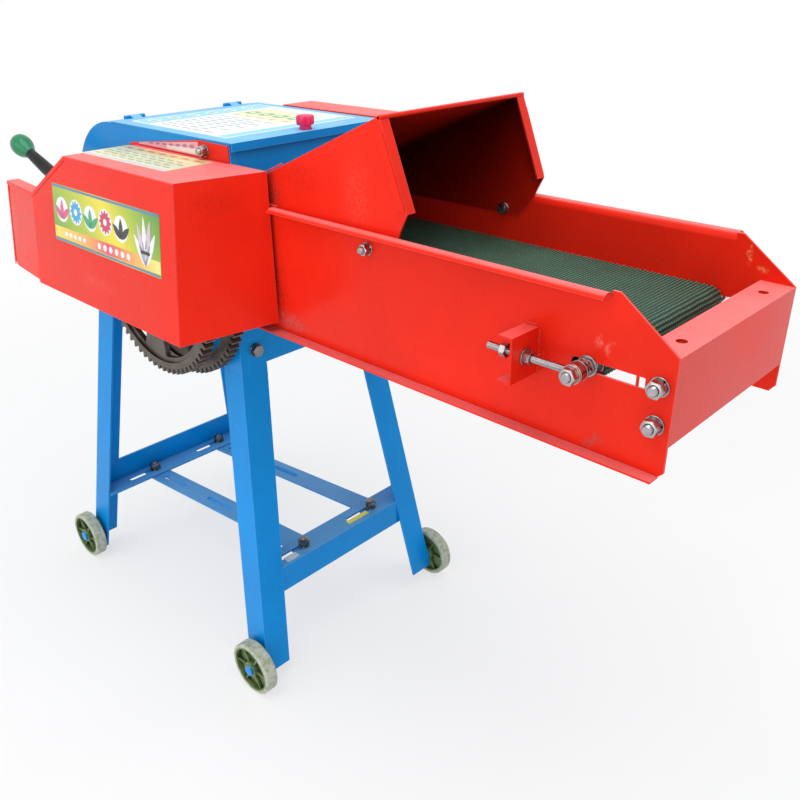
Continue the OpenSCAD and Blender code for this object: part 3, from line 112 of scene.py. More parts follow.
class ShredderSizes(bpy.types.PropertyGroup):
    """Sizes of the small detail"""

    edge_round: bpy.props.FloatProperty(
        name="Edge rounding", description="Rounding of sheet and casting edges",
        min=0.0001, max=0.002, default=0.0005, **LENGTH)
    rib_pitch: bpy.props.FloatProperty(
        name="Rib pitch", description="Distance between the ribs across the belt",
        min=0.004, max=0.012, default=0.0047, **LENGTH)
    rib_height: bpy.props.FloatProperty(
        name="Rib height", description="Height of the belt's ribs", min=0.0005, max=0.003, default=0.0019, **LENGTH)
    thread_pitch: bpy.props.FloatProperty(
        name="Thread pitch", description="Pitch of the threads", min=0.001, max=0.002, default=0.0015, **LENGTH)
    label_lift: bpy.props.FloatProperty(
        name="Label lift", description="How far a printed sticker stands off the sheet",
        min=0.0001, max=0.001, default=0.0004, **LENGTH)


def paints():
    return bpy.context.scene.shredder_paints


def sizes():
    return bpy.context.scene.shredder_sizes


class Nodes:
    """A short way to write the nodes of a material or world."""

    def __init__(self, owner):
        self.owner = owner
        owner.use_nodes = True
        self.tree = owner.node_tree
        self.tree.nodes.clear()

    def link(self, value, socket):
        """Links an output to a socket, or sets a plain value on the socket."""
        if isinstance(value, bpy.types.NodeSocket):
            self.tree.links.new(value, socket)
        else:
            socket.default_value = (*value, 1)[:4] if socket.type == "RGBA" else value

    def add(self, kind, settings=None, *values, **inputs):
        """A node: values fill its sockets in order, and inputs by name, with _ for a space."""
        node = self.tree.nodes.new(kind)
        for key, value in (settings or {}).items():
            setattr(node, key, value)
        for socket, value in zip(node.inputs, values):
            self.link(value, socket)
        for key, value in inputs.items():
            self.link(value, node.inputs[key.replace("_", " ")])
        return node

    def maths(self, operation, a, b=0.0):
        return self.add("ShaderNodeMath", {"operation": operation}, a, b).outputs[0]

    def watched(self):
        """1 for rays of the camera, of reflections and of glass."""
        path = self.add("ShaderNodeLightPath").outputs
        seen = self.maths("MAXIMUM", path["Is Camera Ray"], path["Is Glossy Ray"])
        return self.maths("MAXIMUM", seen, path["Is Transmission Ray"])


class Shader(Nodes):
    """The nodes of a material whose surface is one principled shader."""

    def __init__(self, name):
        super().__init__(bpy.data.materials.new(name))
        self.surface = self.add("ShaderNodeBsdfPrincipled")
        self.output = self.add("ShaderNodeOutputMaterial", Surface=self.surface.outputs[0])

    def place(self, scale=(1, 1, 1), shift=(0, 0, 0)):
        source = self.add("ShaderNodeTexCoord").outputs["Object"]
        return self.add("ShaderNodeMapping", Vector=source, Scale=scale, Location=shift).outputs[0]

    def noise(self, scale, detail=3.0, rough=0.55, where=None, distortion=0.0, out="Fac"):
        where = where or self.place()
        return self.add(
            "ShaderNodeTexNoise", Vector=where, Scale=scale, Detail=detail, Roughness=rough, Distortion=distortion
        ).outputs[out]

    def ramp(self, factor, *stops):
        node = self.add("ShaderNodeValToRGB", Fac=factor)
        elements = node.color_ramp.elements
        while len(elements) < len(stops):
            elements.new(0.5)
        for element, (place, colour) in zip(elements, stops):
            element.position = place
            element.color = (*colour, 1)
        return node.outputs["Color"]

    def steps(self, factor, low, high, a=0.0, b=1.0):
        """Turns low to high into a to b, smoothly."""
        kind = {"interpolation_type": "SMOOTHSTEP"}
        return self.add(
            "ShaderNodeMapRange", kind, Value=factor, From_Min=low, From_Max=high, To_Min=a, To_Max=b
        ).outputs[0]

    def vector(self, operation, *values, out="Vector"):
        return self.add("ShaderNodeVectorMath", {"operation": operation}, *values).outputs[out]

    def length(self, vector):
        return self.vector("LENGTH", vector, out="Value")

    def mix(self, factor, a, b):
        node = self.add("ShaderNodeMix", {"data_type": "RGBA"}, factor)
        self.link(a, node.inputs[6])
        self.link(b, node.inputs[7])
        return node.outputs[2]

    def edge(self, radius=0.0015, low=0.02, high=0.35):
        """Where the surface turns sharply, as a 0 to 1 mask."""
        bevel = self.add("ShaderNodeBevel", {"samples": 6}, Radius=radius).outputs[0]
        same = self.vector("DOT_PRODUCT", bevel, self.add("ShaderNodeNewGeometry").outputs["Normal"], out="Value")
        return self.steps(self.maths("SUBTRACT", 1.0, same), low, high)

    def up(self):
        """How much the surface faces upwards on the object itself."""
        split = self.add("ShaderNodeSeparateXYZ", None, self.add("ShaderNodeTexCoord").outputs["Normal"])
        return self.steps(split.outputs["Z"], 0.70, 0.97)

    def open_air(self, distance, low=0.30, high=0.90):
        """0 in hollows and corners, 1 on open surfaces: the mask by which shade is painted."""
        node = self.add("ShaderNodeAmbientOcclusion", {"samples": 6, "only_local": True}, Distance=distance)
        return self.steps(node.outputs["AO"], low, high)

    def smudge(self, body, centre, reach, colour, strength):
        """A dirty or rubbed patch round a place, with a ragged rim."""
        swirl = self.noise(85.0, 5.0, 0.68, out="Color")
        pushed = self.vector("MULTIPLY_ADD", swirl, (0.022,) * 3, self.place(shift=(-0.011,) * 3))
        shift = [-c / r for c, r in zip(centre, reach)]
        near = self.add("ShaderNodeMapping", Vector=pushed, Scale=[1 / r for r in reach], Location=shift).outputs[0]
        patch = self.steps(self.length(near), 0.2, 1.2, strength, 0.0)
        broken = self.steps(self.noise(230.0, 5.0, 0.75), 0.42, 0.58)
        return self.mix(self.maths("MULTIPLY", patch, broken), body, colour)

    def bump(self, height, strength, distance, normal=None):
        node = self.add("ShaderNodeBump", Strength=strength, Distance=distance, Height=height)
        if normal is not None:
            self.link(normal, node.inputs["Normal"])
        return node.outputs[0]

    def finish(self, colour, roughness, normal=None, **plain):
        values = {"Base_Color": colour, "Roughness": roughness, **plain}
        if normal is not None:
            values["Normal"] = normal
        for key, value in values.items():
            self.link(value, self.surface.inputs[key.replace("_", " ")])
        return self.owner


def tint(colour, gain, lift=0.0):
    return tuple(min(1.0, max(0.0, c * gain + lift)) for c in colour)


made = {}


def finish_of(name, maker, *details):
    """A material, made once; a detail that is a string names one of the user's paints."""
    if name not in made:
        given = [tuple(getattr(paints(), d)) if isinstance(d, str) else d for d in details]
        made[name] = maker(name, *given)
    return made[name]


def enamel(name, colour, gleam, dust_and_sheen_colour, dust_and_sheen_share, smudges=(), cave_shade=(0.20, 0.08, 0.60, 0.30)):
    """Sprayed gloss enamel on sheet: orange peel, pale tops of dust and painted sky sheen, worn edges with a painted
    highlight, painted shade in corners and recesses, scuffs and smudges.
    """
    s = Shader(name)
    broad = s.noise(7.0, 4.0)
    body = s.mix(s.steps(broad, 0.35, 0.7), tint(colour, 0.92), tint(colour, 1.05))
    # Upward faces turn pale: partly dust, partly a painted sheen of the sky's reflection
    dust_and_sheen = s.maths("MULTIPLY", s.up(), s.steps(s.noise(20.0, 5.0, 0.65), 0.30, 0.75, dust_and_sheen_share * 0.8, dust_and_sheen_share))
    body = s.mix(dust_and_sheen, body, dust_and_sheen_colour)
    for centre, reach, shade, strength in smudges:
        body = s.smudge(body, at(*centre), tuple(r / 1000 for r in reach), shade, strength)
    scuff = s.steps(s.noise(55.0, 5.0, 0.75, s.place((1, 1, 4)), 0.6), 0.745, 0.785, 0.0, 0.4)
    body = s.mix(scuff, body, tint(colour, 0.35, 0.01))
    speck = s.steps(s.noise(420.0, 3.0, 0.8), 0.74, 0.80, 0.0, 0.35)
    body = s.mix(speck, body, tint(colour, 0.45, 0.01))
    # Painted highlight: the edges turn pale as if they caught the sky
    body = s.mix(s.maths("MULTIPLY", s.edge(0.0013, 0.02, 0.30), 0.40), body, dust_and_sheen_colour)
    chip = s.maths("MULTIPLY", s.edge(), s.steps(s.noise(90.0, 5.0, 0.7), 0.54, 0.68))
    body = s.mix(chip, body, (0.20, 0.17, 0.15))
    # Painted shade: darker in corners and seams
    body = s.mix(s.open_air(0.006, 0.2, 0.8), tint(colour, 0.42), body)
    # Painted shade: darker deep in recesses, most of all inside the hood
    reach, shut, free, left = cave_shade
    body = s.mix(s.open_air(reach, shut, free), tint(colour, left), body)
    rough = s.maths("ADD", s.steps(broad, 0.3, 0.75, 0.26, 0.38), s.maths("MULTIPLY", dust_and_sheen, 0.35))
    peel = s.bump(s.noise(260.0, 2.0), 0.10, 0.0004)
    wavy = s.bump(s.noise(9.0, 1.0), 0.40, 0.0014, peel)
    return s.finish(
        body, rough, wavy, Coat_Weight=0.03, Coat_Roughness=0.12, Specular_IOR_Level=0.30, Specular_Tint=gleam
    )


def oiled_casting(name, colour):
    """Sand-cast iron with an oil film, rust spots, and painted shade in its hollows."""
    s = Shader(name)
    grain = s.noise(420.0, 5.0, 0.7)
    patches = s.noise(28.0, 5.0, 0.6)
    body = s.mix(s.steps(patches, 0.4, 0.68), colour, tint(colour, 1.9, 0.01))
    body = s.mix(s.steps(s.noise(70.0, 4.0, 0.7), 0.60, 0.75, 0.0, 0.55), body, (0.11, 0.045, 0.02))
    body = s.mix(s.maths("MULTIPLY", s.edge(0.0016, 0.01, 0.25), 0.45), body, (0.30, 0.28, 0.26))
    # Painted shade: darker in the hollows
    body = s.mix(s.open_air(0.010), tint(colour, 0.5), body)
    normal = s.bump(grain, 0.35, 0.0006)
    return s.finish(body, s.steps(patches, 0.35, 0.7, 0.34, 0.62), normal, Metallic=0.55)


def zinc_plate(name, colour, bloom):
    """Bright zinc plating with a faint yellow and violet passivation."""
    s = Shader(name)
    cloud = s.noise(60.0, 3.0, 0.6)
    body = s.ramp(cloud, (0.30, colour), (0.50, bloom), (0.72, tint(colour, 0.88)))
    dirt = s.steps(s.noise(300.0, 4.0, 0.7), 0.58, 0.75, 0.0, 0.35)
    body = s.mix(dirt, body, (0.14, 0.12, 0.11))
    # Painted shade: darker in the threads and hollows
    body = s.mix(s.open_air(0.0035, 0.25, 0.85), (0.045, 0.040, 0.038), body)
    rough = s.steps(s.noise(180.0, 3.0), 0.3, 0.75, 0.20, 0.38)
    return s.finish(body, rough, s.bump(s.noise(700.0, 2.0), 0.10, 0.0002), Metallic=1.0)


def turned_steel(name, colour):
    """Bare machined steel with fine turning marks and light rust."""
    s = Shader(name)
    marks = s.noise(60.0, 2.0, 0.5, s.place((1, 30, 1)))
    spots = s.steps(s.noise(38.0, 6.0, 0.72), 0.60, 0.72, 0.0, 0.6)
    body = s.mix(spots, s.mix(marks, tint(colour, 0.85), tint(colour, 1.1)), (0.14, 0.06, 0.03))
    rough = s.maths("ADD", s.steps(marks, 0.3, 0.7, 0.22, 0.36), s.maths("MULTIPLY", spots, 0.35))
    return s.finish(body, rough, s.bump(marks, 0.12, 0.0003), Metallic=1.0)


def moulded_plastic(name, colour, roughness):
    """Glossy plastic with faint clouds and fine scratches."""
    s = Shader(name)
    cloud = s.noise(90.0, 4.0, 0.6)
    body = s.mix(s.steps(cloud, 0.3, 0.75), tint(colour, 0.86), tint(colour, 1.1, 0.006))
    scratch = s.steps(s.noise(240.0, 5.0, 0.8, s.place((1, 1, 2))), 0.66, 0.76, 0.0, 0.08)
    body = s.mix(scratch, body, tint(colour, 1.5, 0.05))
    rough = s.steps(cloud, 0.3, 0.8, roughness - 0.05, roughness + 0.10)
    return s.finish(body, rough, s.bump(s.noise(520.0, 2.0), 0.08, 0.0003), Specular_IOR_Level=0.42)


def satin_black(name):
    """Hand-painted black lever steel, rubbed at its edges."""
    s = Shader(name)
    cloud = s.noise(55.0, 4.0)
    body = s.mix(s.steps(cloud, 0.35, 0.7), (0.006, 0.006, 0.007), (0.016, 0.016, 0.018))
    body = s.mix(s.maths("MULTIPLY", s.edge(0.0014, 0.02, 0.3), s.steps(cloud, 0.45, 0.65)), body, (0.16, 0.15, 0.14))
    rough = s.steps(cloud, 0.3, 0.7, 0.30, 0.5)
    return s.finish(body, rough, s.bump(s.noise(300.0, 3.0), 0.15, 0.0003), Specular_IOR_Level=0.18)


def ribbed_rubber(name, colour):
    """Green belt rubber: dusty on the crests of its nubs, with painted shade in the grooves between them."""
    s = Shader(name)
    height = s.add("ShaderNodeAttribute", {"attribute_name": "rib"}).outputs["Fac"]
    cloud = s.noise(16.0, 5.0, 0.65)
    weave = s.noise(480.0, 3.0, 0.6)
    crest = s.mix(s.steps(cloud, 0.35, 0.7), tint(colour, 1.0), tint(colour, 1.4, 0.004))
    crest = s.mix(s.steps(weave, 0.45, 0.72, 0.0, 0.60), crest, tint(colour, 2.2, 0.02))
    # Painted shade: the grooves between the nubs turn dark
    body = s.mix(s.steps(height, 0.22, 0.92), tint(colour, 0.14), crest)
    return s.finish(body, s.steps(cloud, 0.3, 0.7, 0.50, 0.68), s.bump(weave, 0.5, 0.0005), Specular_IOR_Level=0.4)


def wheel_plastic(name, colour, middle):
    """Olive plastic wheel with a pale, dusty tread and painted shade in the hollows of its disc; the tread is what
    lies far from the axle.
    """
    s = Shader(name)
    flat = s.vector("MULTIPLY", s.place(shift=[-c for c in middle]), (1, 0, 1))
    cloud = s.noise(70.0, 5.0, 0.65)
    reach = s.maths("ADD", s.length(flat), s.maths("MULTIPLY", cloud, 0.004))
    body = s.mix(s.steps(cloud, 0.35, 0.7), tint(colour, 0.72), tint(colour, 1.25, 0.01))
    tread = s.mix(s.steps(s.noise(120.0, 5.0, 0.7), 0.38, 0.66), (0.52, 0.53, 0.47), (0.30, 0.34, 0.20))
    body = s.mix(s.steps(reach, 0.0385, 0.0415, 0.0, 0.92), body, tread)
    body = s.mix(s.steps(s.noise(160.0, 5.0, 0.75), 0.62, 0.74, 0.0, 0.4), body, (0.16, 0.14, 0.10))
    # Painted shade: dark in the hollows between the spokes
    body = s.mix(s.open_air(0.016, 0.25, 0.80), tint(colour, 0.13), body)
    return s.finish(body, s.steps(cloud, 0.3, 0.8, 0.48, 0.70), s.bump(s.noise(240.0, 4.0), 0.35, 0.0006))


def inked(s, body, fade):
    """A sticker's satin surface over its ink."""
    rough = s.steps(fade, 0.3, 0.8, 0.26, 0.40)
    return s.finish(body, rough, s.bump(s.noise(150.0, 2.0), 0.06, 0.0004), Coat_Weight=0.3)


def printed_film(name, colour):
    """One ink of a printed sticker, slightly faded."""
    s = Shader(name)
    fade = s.noise(22.0, 4.0, 0.6)
    return inked(s, s.mix(s.steps(fade, 0.35, 0.75), tint(colour, 0.93), tint(colour, 1.04, 0.012)), fade)


def blended_film(name, along, low, high, *stops):
    """A sticker's printed gradient, running along a direction between two distances in metres."""
    s = Shader(name)
    reach = s.vector("DOT_PRODUCT", s.place(), along, out="Value")
    share = s.add("ShaderNodeMapRange", Value=reach, From_Min=low, From_Max=high).outputs[0]
    soft = s.maths("ADD", share, s.maths("MULTIPLY", s.maths("SUBTRACT", s.noise(14.0, 3.0), 0.5), 0.10))
    return inked(s, s.ramp(soft, *stops), s.noise(22.0, 4.0))


# Colours of upward faces: partly pale dust, partly a painted sheen where the sky would reflect
PINK_DUST_AND_SHEEN = (0.90, 0.30, 0.29)
PALE_DUST_AND_SHEEN = (0.34, 0.66, 0.88)

# Smudges: place in stand millimetres, reach along X, Y and Z, colour, strength
GREY_DIRT = (0.20, 0.10, 0.09)
RUBBED_PINK = (0.95, 0.34, 0.28)
DEEP_RED = (0.38, 0.008, 0.006)
STRAW = (0.85, 0.50, 0.22)
TABLE_SMUDGES = (
    ((763, -111, 606), (4, 9, 7), GREY_DIRT, 0.75),
    ((756, -111, 596), (9, 9, 5), GREY_DIRT, 0.85),
    ((770, -111, 604), (3, 9, 10), GREY_DIRT, 0.45),
    ((758, -111, 706), (5, 9, 9), RUBBED_PINK, 0.32),
    ((769, -111, 701), (4, 9, 11), RUBBED_PINK, 0.36),
    ((272, -111, 640), (26, 9, 60), DEEP_RED, 0.60),
    ((296, -111, 606), (40, 9, 16), (0.42, 0.14, 0.13), 0.55),
    ((688, -111, 676), (46, 9, 40), DEEP_RED, 0.28),
    ((784, 147, 738), (3, 9, 13), STRAW, 0.50),
    ((801, 147, 722), (9, 9, 4), STRAW, 0.40),
)
HOOD_SMUDGES = (
    ((268, -108, 768), (34, 9, 30), (0.16, 0.035, 0.03), 0.70),
    ((330, -108, 800), (60, 9, 26), DEEP_RED, 0.30),
    ((430, -108, 792), (26, 9, 50), (0.90, 0.10, 0.07), 0.35),
)
COVER_SMUDGES = (
    ((262, -180, 770), (12, 70, 18), DEEP_RED, 0.30),
    ((-232, -246, 690), (26, 20, 60), RUBBED_PINK, 0.30),
    ((60, -246, 640), (60, 20, 12), (0.90, 0.12, 0.08), 0.30),
)
# How the painted shade deepens inside the hood: distance, closed, open, colour left
HOOD_CAVE_SHADE = (0.45, 0.50, 0.98, 0.07)

RED = (enamel, "table_red", (1.0, 0.30, 0.24), PINK_DUST_AND_SHEEN)
BLUE = (enamel, "casing_blue", (0.16, 0.62, 1.0))
FINISHES = {
    "red_enamel": (*RED, 0.34),
    "red_enamel_table": (*RED, 0.60, TABLE_SMUDGES),
    "red_enamel_hood": (*RED, 0.60, HOOD_SMUDGES, HOOD_CAVE_SHADE),
    "red_enamel_cover": (*RED, 0.60, COVER_SMUDGES),
    "red_enamel_box": (*RED, 0.62),
    "blue_enamel": (*BLUE, PALE_DUST_AND_SHEEN, 0.36),
    "lid_enamel": (*BLUE, PALE_DUST_AND_SHEEN, 0.66),
    "rotor_enamel": (*BLUE, (0.30, 0.36, 0.30), 0.25),
    "dark_iron": (oiled_casting, (0.092, 0.074, 0.062)),
    "bright_zinc": (zinc_plate, (0.47, 0.46, 0.46), (0.40, 0.37, 0.39)),
    "dull_zinc": (zinc_plate, (0.27, 0.26, 0.26), (0.20, 0.18, 0.18)),
    "yellow_zinc": (zinc_plate, (0.50, 0.42, 0.27), (0.46, 0.36, 0.40)),
    "shaft_steel": (turned_steel, (0.48, 0.47, 0.45)),
    "lever_black": (satin_black,),
    "ball_plastic": (moulded_plastic, "ball_green", 0.20),
    "knob_plastic": (moulded_plastic, "knob_pink", 0.22),
    "belt_rubber": (ribbed_rubber, "belt_green"),
}
INKS = {
    "shell": (0.78, 0.40, 0.46), "chalk": (0.82, 0.76, 0.72), "plum": (0.42, 0.16, 0.36),
    "yellow": (0.82, 0.70, 0.03), "pale": (0.56, 0.68, 0.74), "border": (0.10, 0.20, 0.36),
    "white": (0.80, 0.80, 0.78), "lilac": (0.62, 0.50, 0.66), "rose": (0.60, 0.09, 0.22), "sky": (0.02, 0.34, 0.60),
    "leafgreen": (0.03, 0.36, 0.14), "crimson": (0.58, 0.02, 0.09), "charcoal": (0.015, 0.015, 0.018),
    "cream": (0.78, 0.74, 0.42), "straw": (0.72, 0.56, 0.12), "cloud": (0.58, 0.56, 0.66),
    "olive": (0.36, 0.37, 0.12), "brick": (0.62, 0.10, 0.10), "paper": (0.84, 0.90, 0.90),
    "cyan": (0.10, 0.62, 0.78), "moss": (0.08, 0.34, 0.16), "smoke": (0.28, 0.31, 0.33),
    "butter": (0.80, 0.86, 0.40), "coral": (0.66, 0.24, 0.24),
}


def finish(name):
    return finish_of(name, *FINISHES[name])


def new_object(name, mesh, body, material):
    obj = bpy.data.objects.new(name, mesh)
    bpy.context.scene.collection.objects.link(obj)
    if material is not None:
        mesh.materials.append(material)
    if body:
        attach(obj, body)
    return obj


def smooth(mesh, angle=35.0):
    for polygon in mesh.polygons:
        polygon.use_smooth = True
    mesh.set_sharp_from_angle(angle=math.radians(angle))


def mesh_from(name, bm, angle=35.0):
    """A smooth mesh from what was built, with its faces turned outwards."""
    bmesh.ops.remove_doubles(bm, verts=bm.verts, dist=1e-6)
    bmesh.ops.recalc_face_normals(bm, faces=bm.faces)
    mesh = bpy.data.meshes.new(name)
    bm.to_mesh(mesh)
    bm.free()
    smooth(mesh, angle)
    return mesh


def applied(obj):
    """Gives an object the mesh that its modifiers make."""
    graph = bpy.context.evaluated_depsgraph_get()
    mesh = bpy.data.meshes.new_from_object(obj.evaluated_get(graph))
    obj.modifiers.clear()
    obj.data = mesh
    return obj


def even_shading(obj, angle=32.0):
    """Smooth shading in which the large flat faces stay flat and only the rounded edges turn."""
    smooth(obj.data, angle)
    weigh = obj.modifiers.new("shading", "WEIGHTED_NORMAL")
    weigh.keep_sharp = True
    return applied(obj)


def smooth_twists(bm, limit=9.0, least=0.0006, cuts=8):
    """Turns each pair of large triangles that make up one slightly twisted panel into a smooth patch."""
    creases = [
        e for e in bm.edges
        if len(e.link_faces) == 2 and all(len(f.verts) == 3 and f.calc_area() > least for f in e.link_faces)
        and 0.5 < math.degrees(e.calc_face_angle(0.0)) < limit
    ]
    panels = []
    for crease in creases:
        if crease.is_valid:
            panels.append(bmesh.utils.face_join(list(crease.link_faces)))
    for panel in panels:
        bmesh.ops.subdivide_edges(bm, edges=list(panel.edges), cuts=cuts, use_grid_fill=True)


def body_of(node):
    return next(b for b, names in frame["record"]["behaviour"]["bodies"].items() if node in names)


def rounded(obj, width, segments=2, angle=30.0):
    """Rounds an object's edges and evens its shading."""
    bevel = obj.modifiers.new("edges", "BEVEL")
    bevel.width = width
    bevel.segments = segments
    bevel.limit_method = "ANGLE"
    bevel.angle_limit = math.radians(angle)
    return even_shading(applied(obj))


def dressed(node, material, width=None):
    """A copy of a CAD node with rounded edges and a finish, which stands for the node."""
    twisted = node == "gear_cover"
    bm = bmesh.new()
    bm.from_mesh(frame["nodes"][node].data)
    bmesh.ops.remove_doubles(bm, verts=bm.verts, dist=2e-6)
    # Flat triangles are merged first, except on the large gears, whose spoked discs don't survive it
    if node != "large_gears":
        flat = math.radians(0.4 if twisted else 0.8)
        bmesh.ops.dissolve_limit(bm, angle_limit=flat, verts=bm.verts, edges=bm.edges)
    if twisted:
        smooth_twists(bm)
    mesh = bpy.data.meshes.new(node + "_skin")
    bm.to_mesh(mesh)
    bm.free()
    skin = new_object(node + "_skin", mesh, None, material)
    rounded(skin, sizes().edge_round if width is None else width, 2, 28.0)
    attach(skin, body_of(node))
    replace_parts(skin, node)


def frame_at(place, direction):
    """A matrix whose +Z is a direction, at a place in metres."""
    return Matrix.Translation(place) @ Vector(direction).to_track_quat("Z", "Y").to_matrix().to_4x4()


def turned(bm, matrix, radius, height, angle):
    """A vertex at a radius, height and angle round the matrix's Z axis."""
    return bm.verts.new(matrix @ Vector((radius * math.cos(angle), radius * math.sin(angle), height)))


def circle(count):
    return [2 * math.pi * k / count for k in range(count)]


def bridge(bm, rows, capped=False):
    """Joins closed rows of vertices with faces; a row of one vertex is a tip."""
    around = max(len(row) for row in rows)
    for lower, upper in zip(rows, rows[1:]):
        for k in range(around):
            a, b, c, d = (row[i % len(row)] for row, i in ((lower, k), (lower, k + 1), (upper, k + 1), (upper, k)))
            corners = list(dict.fromkeys((a, b, c, d)))
            if len(corners) > 2:
                bm.faces.new(corners)
    if capped:
        bm.faces.new(rows[0][::-1])
        bm.faces.new(rows[-1])


def ring(bm, matrix, profile, around=40, lobes=0):
    """Turns (radius, height) points round the matrix's Z axis; with lobes, the outline narrows that many times."""
    def swell(a):
        return 1.0 - 0.20 * (0.5 - 0.5 * math.cos(lobes * a)) ** 1.6 if lobes else 1.0

    bridge(bm, [
        [turned(bm, matrix, radius * swell(a), height, a) for a in circle(around if radius > 1e-6 else 1)]
        for radius, height in profile
    ])


def washer(bm, matrix, inner, outer, thick, chamfer=0.0003):
    profile = [
        (inner, 0), (outer - chamfer, 0), (outer, chamfer), (outer, thick - chamfer), (outer - chamfer, thick),
        (inner, thick), (inner, 0),
    ]
    ring(bm, matrix, profile)


def spring_washer(bm, matrix, inner, outer, thick):
    """A split lock washer with a small step at its split."""
    around, gap, step = 40, 0.13, 0.30
    rows = []
    for k in range(around + 1):
        lift = thick * step * k / around
        a = gap + (2 * math.pi - 2 * gap) * k / around
        square = ((inner, 0), (outer, 0), (outer, thick), (inner, thick))
        rows.append([turned(bm, matrix, r, h + lift, a) for r, h in square])
    bridge(bm, rows, capped=True)


def hexagon(bm, matrix, across, height, bore=0.0, turn=0.0, dome=False):
    """A hexagon nut or head whose corners are chamfered at 30 degrees; dome leaves the chamfer off below."""
    face = across / 2 * 0.96
    corners = [across / 2 / math.cos((a - turn) % (math.pi / 3) - math.pi / 6) for a in circle(48)]
    cuts = [max(0.0, (r - face) * math.tan(math.radians(30))) for r in corners]
    tip = len(corners) if bore else 1
    rows = [
        [(bore, 0.0)] * tip, [(face, 0.0)] * len(corners),
        [(r, 0.0 if dome else cut) for r, cut in zip(corners, cuts)],
        [(r, height - cut) for r, cut in zip(corners, cuts)], [(face, height)] * len(corners),
    ]
    rows += [[(bore * 1.12, height)] * tip, [(bore, height - bore * 0.12)] * tip] if bore else [[(0.0, height)]]
    loops = [[turned(bm, matrix, r, h, a) for a, (r, h) in zip(circle(48), row)] for row in rows]
    bridge(bm, loops + loops[:1] if bore else loops)


def thread(bm, matrix, radius, length, pitch, around=28, per_turn=6):
    """A threaded rod: its surface is one helix, with chamfered ends."""
    depth = pitch * 0.42
    steps = max(4, int(length / pitch * per_turn))
    rows = []
    for z in (length * i / steps for i in range(steps + 1)):
        row = []
        for k, a in enumerate(circle(around)):
            bite = depth * abs(2 * ((z / pitch - k / around) % 1.0) - 1)
            row.append(turned(bm, matrix, radius - max(bite, depth * 1.4 - min(z, length - z)), z, a))
        rows.append(row)
    bridge(bm, rows, capped=True)


def lifted(matrix, height):
    """The same matrix, moved along its own Z axis."""
    return matrix @ Matrix.Translation((0, 0, height))


def bolt_set(bm, place, direction, size, grip, style, turn):
    """A bolt through a joint of a grip: style nut, head, dome or screw says what shows on the outside."""
    bore, plate, nut_high, tail = size * 0.53, size * 0.2, size * 0.8, 0.004
    out = frame_at(place, direction) @ Matrix.Rotation(turn, 4, "Z")
    back = lifted(out, -grip) @ Matrix.Rotation(math.pi, 4, "X")

    def head(side):
        washer(bm, side, bore, size, plate)
        hexagon(bm, lifted(side, plate), size * 1.6, size * 0.65, dome=True)

    def nut(side, base):
        """A nut at a height, with the bolt's end through it."""
        hexagon(bm, lifted(side, base), size * 1.6, nut_high, bore=size * 0.49)
        thread(bm, lifted(side, -0.001), size / 2, base + nut_high + tail + 0.001, sizes().thread_pitch)

    if style == "nut":
        washer(bm, out, bore, size, plate)
        spring_washer(bm, lifted(out, plate), bore, size * 0.82, plate)
        nut(out, plate * 2.15)
        head(back)
        return
    if style == "dome":
        crown = [(0, 0.35), (0.5, 0.34), (0.85, 0.24), (1.03, 0.11), (1.1, 0.03), (1.1, 0), (0, 0)]
        ring(bm, out, [(r * size, h * size) for r, h in crown])
    else:
        head(out)
    if style != "screw":
        washer(bm, back, bore, size, plate)
        nut(back, plate)


def bead(bm, start, end, radius, seed, flat=0.75):
    """A weld bead from start to end: overlapping rippled scales."""
    rand = random.Random(seed)
    start, end = Vector(start), Vector(end)
    line = end - start
    count = max(3, int(line.length / (radius * 0.75)))
    quat = line.to_track_quat("Z", "Y").to_matrix().to_4x4()
    rows = []
    for i in range(count * 3 + 1):
        t = i / (count * 3)
        ripple = 1.0 + 0.13 * math.sin(2 * math.pi * i / 3 + rand.uniform(-0.4, 0.4))
        taper = min(1.0, 0.25 + 3.0 * min(t, 1 - t) * line.length / (radius * 4))
        r = radius * ripple * taper * rand.uniform(0.93, 1.05)
        middle = Matrix.Translation(start + line * t) @ quat @ Matrix.Diagonal((1, flat, 1, 1))
        rows.append([turned(bm, middle, r, 0, a) for a in circle(10)])
    bridge(bm, rows, capped=True)


def strip(bm, path, offset, outward, thick):
    """A flat band between two paths in stand millimetres, which stands off by a thickness."""
    out = Vector(outward) * thick
    rows = [[bm.verts.new(at(*q)) for q in (a, b, Vector(b) + out, Vector(a) + out)] for a, b in zip(path, offset)]
    bridge(bm, rows, capped=True)


# Finish, slot and CAD nodes that keep their shape
SHEETS = (
    ("red_enamel", "paint_red", ("pulley_guard", "table_bed", "tension_brackets")),
    ("red_enamel_table", "paint_red", ("table_side_near", "table_side_far")),
    ("red_enamel_hood", "paint_red", ("hood",)),
    ("red_enamel_cover", "paint_red", ("gear_cover",)),
    ("blue_enamel", "paint_blue", (
        "leg_front_near", "leg_front_far", "leg_rear_near", "leg_rear_far", "crossbar_front", "crossbar_rear",
        "motor_rail_near", "motor_rail_far", "upper_frame", "casing_plate_near", "casing_plate_far", "casing_wrap",
        "front_wall", "lid_hinge", "shear_bar",
    )),
    ("red_enamel_box", "paint_red", ("end_box",)),
    ("lid_enamel", "paint_blue", ("lid",)),
    ("rotor_enamel", "paint_blue", ("rotor",)),
)
CASTINGS = (
    "shaft_bearings", "drive_pulley", "lower_feed_roller", "upper_feed_roller", "upper_roller_blocks",
    "feed_bearings", "roller_gear_lower", "roller_gear_upper", "idler_gear", "table_drive_gear",
    "large_gears", "pinion_outer", "pinion_inner", "clutch_sleeve",
)
TURNED = ("ledger_blade", "main_shaft", "rotor_blades", "idler_stud", "drive_roller", "tail_roller")


